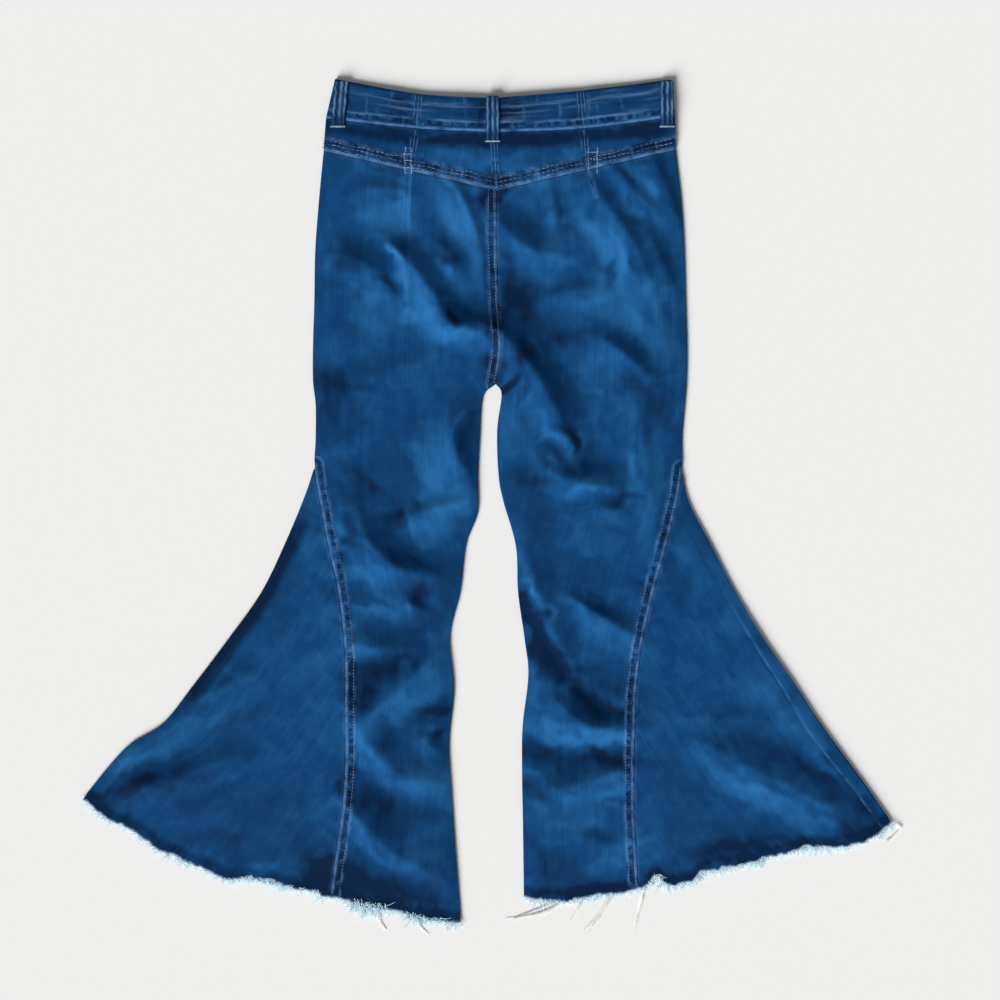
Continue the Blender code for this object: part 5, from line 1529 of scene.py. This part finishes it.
def tube(path, radii, sides=3):
    path = np.array(path, float)
    ahead = np.gradient(path, axis=0)
    ahead /= np.linalg.norm(ahead, axis=1)[:, None]
    side = np.cross(ahead, (0, 0, 1))
    side /= np.maximum(np.linalg.norm(side, axis=1), 1e-6)[:, None]
    turns = (np.arange(sides) * 2 * math.pi / sides)[:, None]
    around = side[:, None] * np.cos(turns) + np.cross(side, ahead)[:, None] * np.sin(turns)
    rings = path[:, None] + around * np.array(radii)[:, None, None]
    corners = np.arange(len(path) * sides).reshape(-1, sides)
    after = np.roll(corners, -1, axis=1)
    faces = np.stack([corners[:-1], after[:-1], after[1:], corners[1:]], -1).reshape(-1, 4).tolist()
    return rings.reshape(-1, 3), faces + [corners[0, ::-1].tolist(), corners[-1].tolist()]


def strandCollection():
    chance = np.random.RandomState(strandForm["seed"])
    strands = bpy.data.collections.new("strands")
    bpy.context.scene.collection.children.link(strands)
    share = np.linspace(0, 1, strandForm["points"])
    for number in range(strandForm["kinds"]):
        curl = chance.uniform(-strandForm["curl"], strandForm["curl"], 2)
        lift = chance.uniform(*strandForm["lift"])
        path = np.column_stack([
            strandForm["length"] * (share - strandForm["root"]),
            curl[0] * share ** 2 + curl[1] * np.sin(2.6 * share) * 0.4,
            lift * np.sin(math.pi * share)])
        verts, faces = tube(path, strandForm["radius"] * (1 - strandForm["taper"] * share))
        mesh = bpy.data.meshes.new(f"strand{number}")
        mesh.from_pydata((verts * mm).tolist(), [], faces)
        strands.objects.link(bpy.data.objects.new(f"strand{number}", mesh))
    return strands


def frayMaterial():
    material, tree = startMaterial("frayed threads")
    color = blend(attributeOf(tree, "shade"), *fray["colors"])
    return closeMaterial(material, color, 0.95, noise(placeOf(tree), 1800.0), 0.6)


def frayEdge(node, line, side, heights, reach, tools, seed):
    chance = np.random.RandomState(seed)
    back = "back" in node
    points = evenRow(line[np.argsort(line[:, 0])], fray["gap" if back else "frontGap"])
    out = np.gradient(points, axis=0)
    out = np.stack([out[:, 1], -out[:, 0]], 1) / np.hypot(*out.T)[:, None]
    more = 1 + sum(added * bell(points[:, 0] - x, half) for x, half, added in frayZones[side])
    tuft = 1 + sum(amount * noiseAt(points, size, seed + number)
                   for number, (amount, size) in enumerate(fray["tufts"]))
    inside = chance.uniform(*fray["inside"], len(points))
    level = heights(points - out * 1.2) + chance.uniform(*fray["above"], len(points))
    if back:
        picked = [chance.choice(np.where(np.abs(points[:, 0] - x) < half)[0], count)
                  for x, half, count, _ in tangles[side]]
        depth = [chance.uniform(-1, deep, count) for _, _, count, deep in tangles[side]]
        depth, at = np.concatenate(depth), np.concatenate(picked)
        over = heights(points[at] - out[at] * depth[:, None]) + cloth["denim"] + fray["overCloth"]
        points, out, tuft, more, inside, level = (np.concatenate(pair) for pair in (
            (points, points[at]), (out, out[at]), (tuft, tuft[at]), (more, more[at]),
            (inside, depth), (level, over)))
    count = len(points)
    size = np.maximum(reach * more * tuft * chance.uniform(*fray["sizes"], count), fray["least"])
    turn = np.arctan2(out[:, 1], out[:, 0]) + chance.normal(0, fray["turn"], count) * more ** 0.8
    drop = np.clip(level - 0.4, 0, None)
    tilt = np.arctan2(drop, np.maximum(size * strandForm["length"], drop))
    tilt = tilt * chance.uniform(*fray["droop"], count)
    start = points - out * inside[:, None]
    mesh = bpy.data.meshes.new(f"{node}_threads")
    mesh.from_pydata((np.column_stack([start, level]) * mm).tolist(), [], [])
    for field, values in (("turn", turn), ("tilt", tilt), ("size", size),
                          ("shade", chance.beta(*fray["shades"], count))):
        addAttribute(mesh, field, values)
    piece = bakeNodes(f"{node}_threads", mesh, tools["tree"], {"Strands": tools["strands"]},
                      tools["material"])
    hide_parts(node)
    return piece


def makeFray():
    tools = {"tree": makeFrayTree(), "strands": strandCollection(), "material": frayMaterial()}
    made = {}
    for number, side in enumerate(legs):
        for layer, line, heights, reach in (
                ("back", hemEdges[side], backUnderside, fray["reach"]),
                ("front", frontHems[side], frontLift, fray["frontReach"])):
            made[f"{layer}_{side}"] = frayEdge(f"fringe_{layer}_{side}", line, side, heights, reach,
                                               tools, fray["seed"] + number)
    for strand in list(tools["strands"].objects):
        bpy.data.objects.remove(strand)
    bpy.data.collections.remove(tools["strands"])
    return made


def makeLooseEnds():
    verts, faces = [], []
    chance = np.random.RandomState(bundle["seed"])
    count = bundle["points"]
    share = np.linspace(0, 1, count)
    for points in looseEnds:
        path = curveAt(points, np.linspace(0, len(points) - 1, count))
        for number in range(bundle["threads"]):
            stray = chance.uniform(-1, 1, 2) * bundle["spread"]
            sway = bundle["sway"] * np.sin(chance.uniform(*bundle["waves"]) * share + number)
            across = np.outer(share * (1.6 - share) + 0.2, stray) + sway[:, None]
            length = (count - 1) * chance.uniform(*bundle["lengths"])
            line = curveAt(path + across, np.linspace(0, length, count))
            height = bundle["rest"] + bundle["lift"] * (1 - share) ** 2
            made, sides = tube(np.column_stack([line, height]),
                               bundle["radius"] * (1 - bundle["taper"] * share))
            faces += [[len(verts) + index for index in face] for face in sides]
            verts += (made * mm).tolist()
    mesh = bpy.data.meshes.new("loose_ends")
    mesh.from_pydata(verts, [], faces)
    pale = bundle["color"]
    finishPiece("loose_ends", mesh, threadMaterial(
        "loose thread", (pale, tuple(0.75 * part for part in pale)), 90.0))


frayed = makeFray()
makeLooseEnds()
print("frayed hems made")

metal = {"clean": (0.46, 0.26, 0.15), "stained": (0.12, 0.07, 0.045), "roughness": (0.3, 0.35)}
tape = {"deep": (0.004, 0.008, 0.02), "pale": (0.014, 0.024, 0.06), "rib": 0.0011, "pick": 0.0006}


def metalMaterial():
    material, tree = startMaterial("aged copper")
    place = placeOf(tree)
    stain = noise(place, 420.0, 4)
    color = blend(stain.ramp(0.38, 0.66), metal["clean"], metal["stained"])
    smooth, rougher = metal["roughness"]
    return closeMaterial(material, color, stain * rougher + smooth, noise(place, 2400.0), 0.3,
                         metallic=1.0)


def tapeMaterial():
    material, tree = startMaterial("zip tape")
    x, y, _ = parted(placeOf(tree))
    weave = ((x * (2 * math.pi / tape["rib"])).by("SINE")
             + (y * (2 * math.pi / tape["pick"])).by("SINE") * 0.5)
    color = blend(weave.ramp(-1.2, 1.2), tape["deep"], tape["pale"])
    return closeMaterial(material, color, 0.85, weave, 0.4)


copper = metalMaterial()
for name, material in (("button", copper), ("zip_slider", copper), ("zip_tape", tapeMaterial())):
    carried = frame["nodes"][name].data.materials
    carried.clear()
    carried.append(material)


def declareCloth():
    for node, piece in {**backPieces, **frontPieces}.items():
        side = node.rsplit("_", 1)[1]
        layer = "back" if node in backPieces else "front"
        under = [front.name for key, front in frontPieces.items()
                 if layer == "back" and key.endswith(side)]


declareCloth()


def addFloor():
    half, sunk = 8.0, 0.0002             # in metres
    mesh = bpy.data.meshes.new("floor")
    mesh.from_pydata([(-half, -half, 0), (half, -half, 0), (half, half, 0), (-half, half, 0)], [],
                     [(0, 1, 2, 3)])
    pale = startMaterial("pale floor")[0]
    mesh.materials.append(closeMaterial(pale, (*light["floorColor"], 1), 0.9))
    floor = addObject("floor", mesh)
    floor.location.z = -sunk


addFloor()
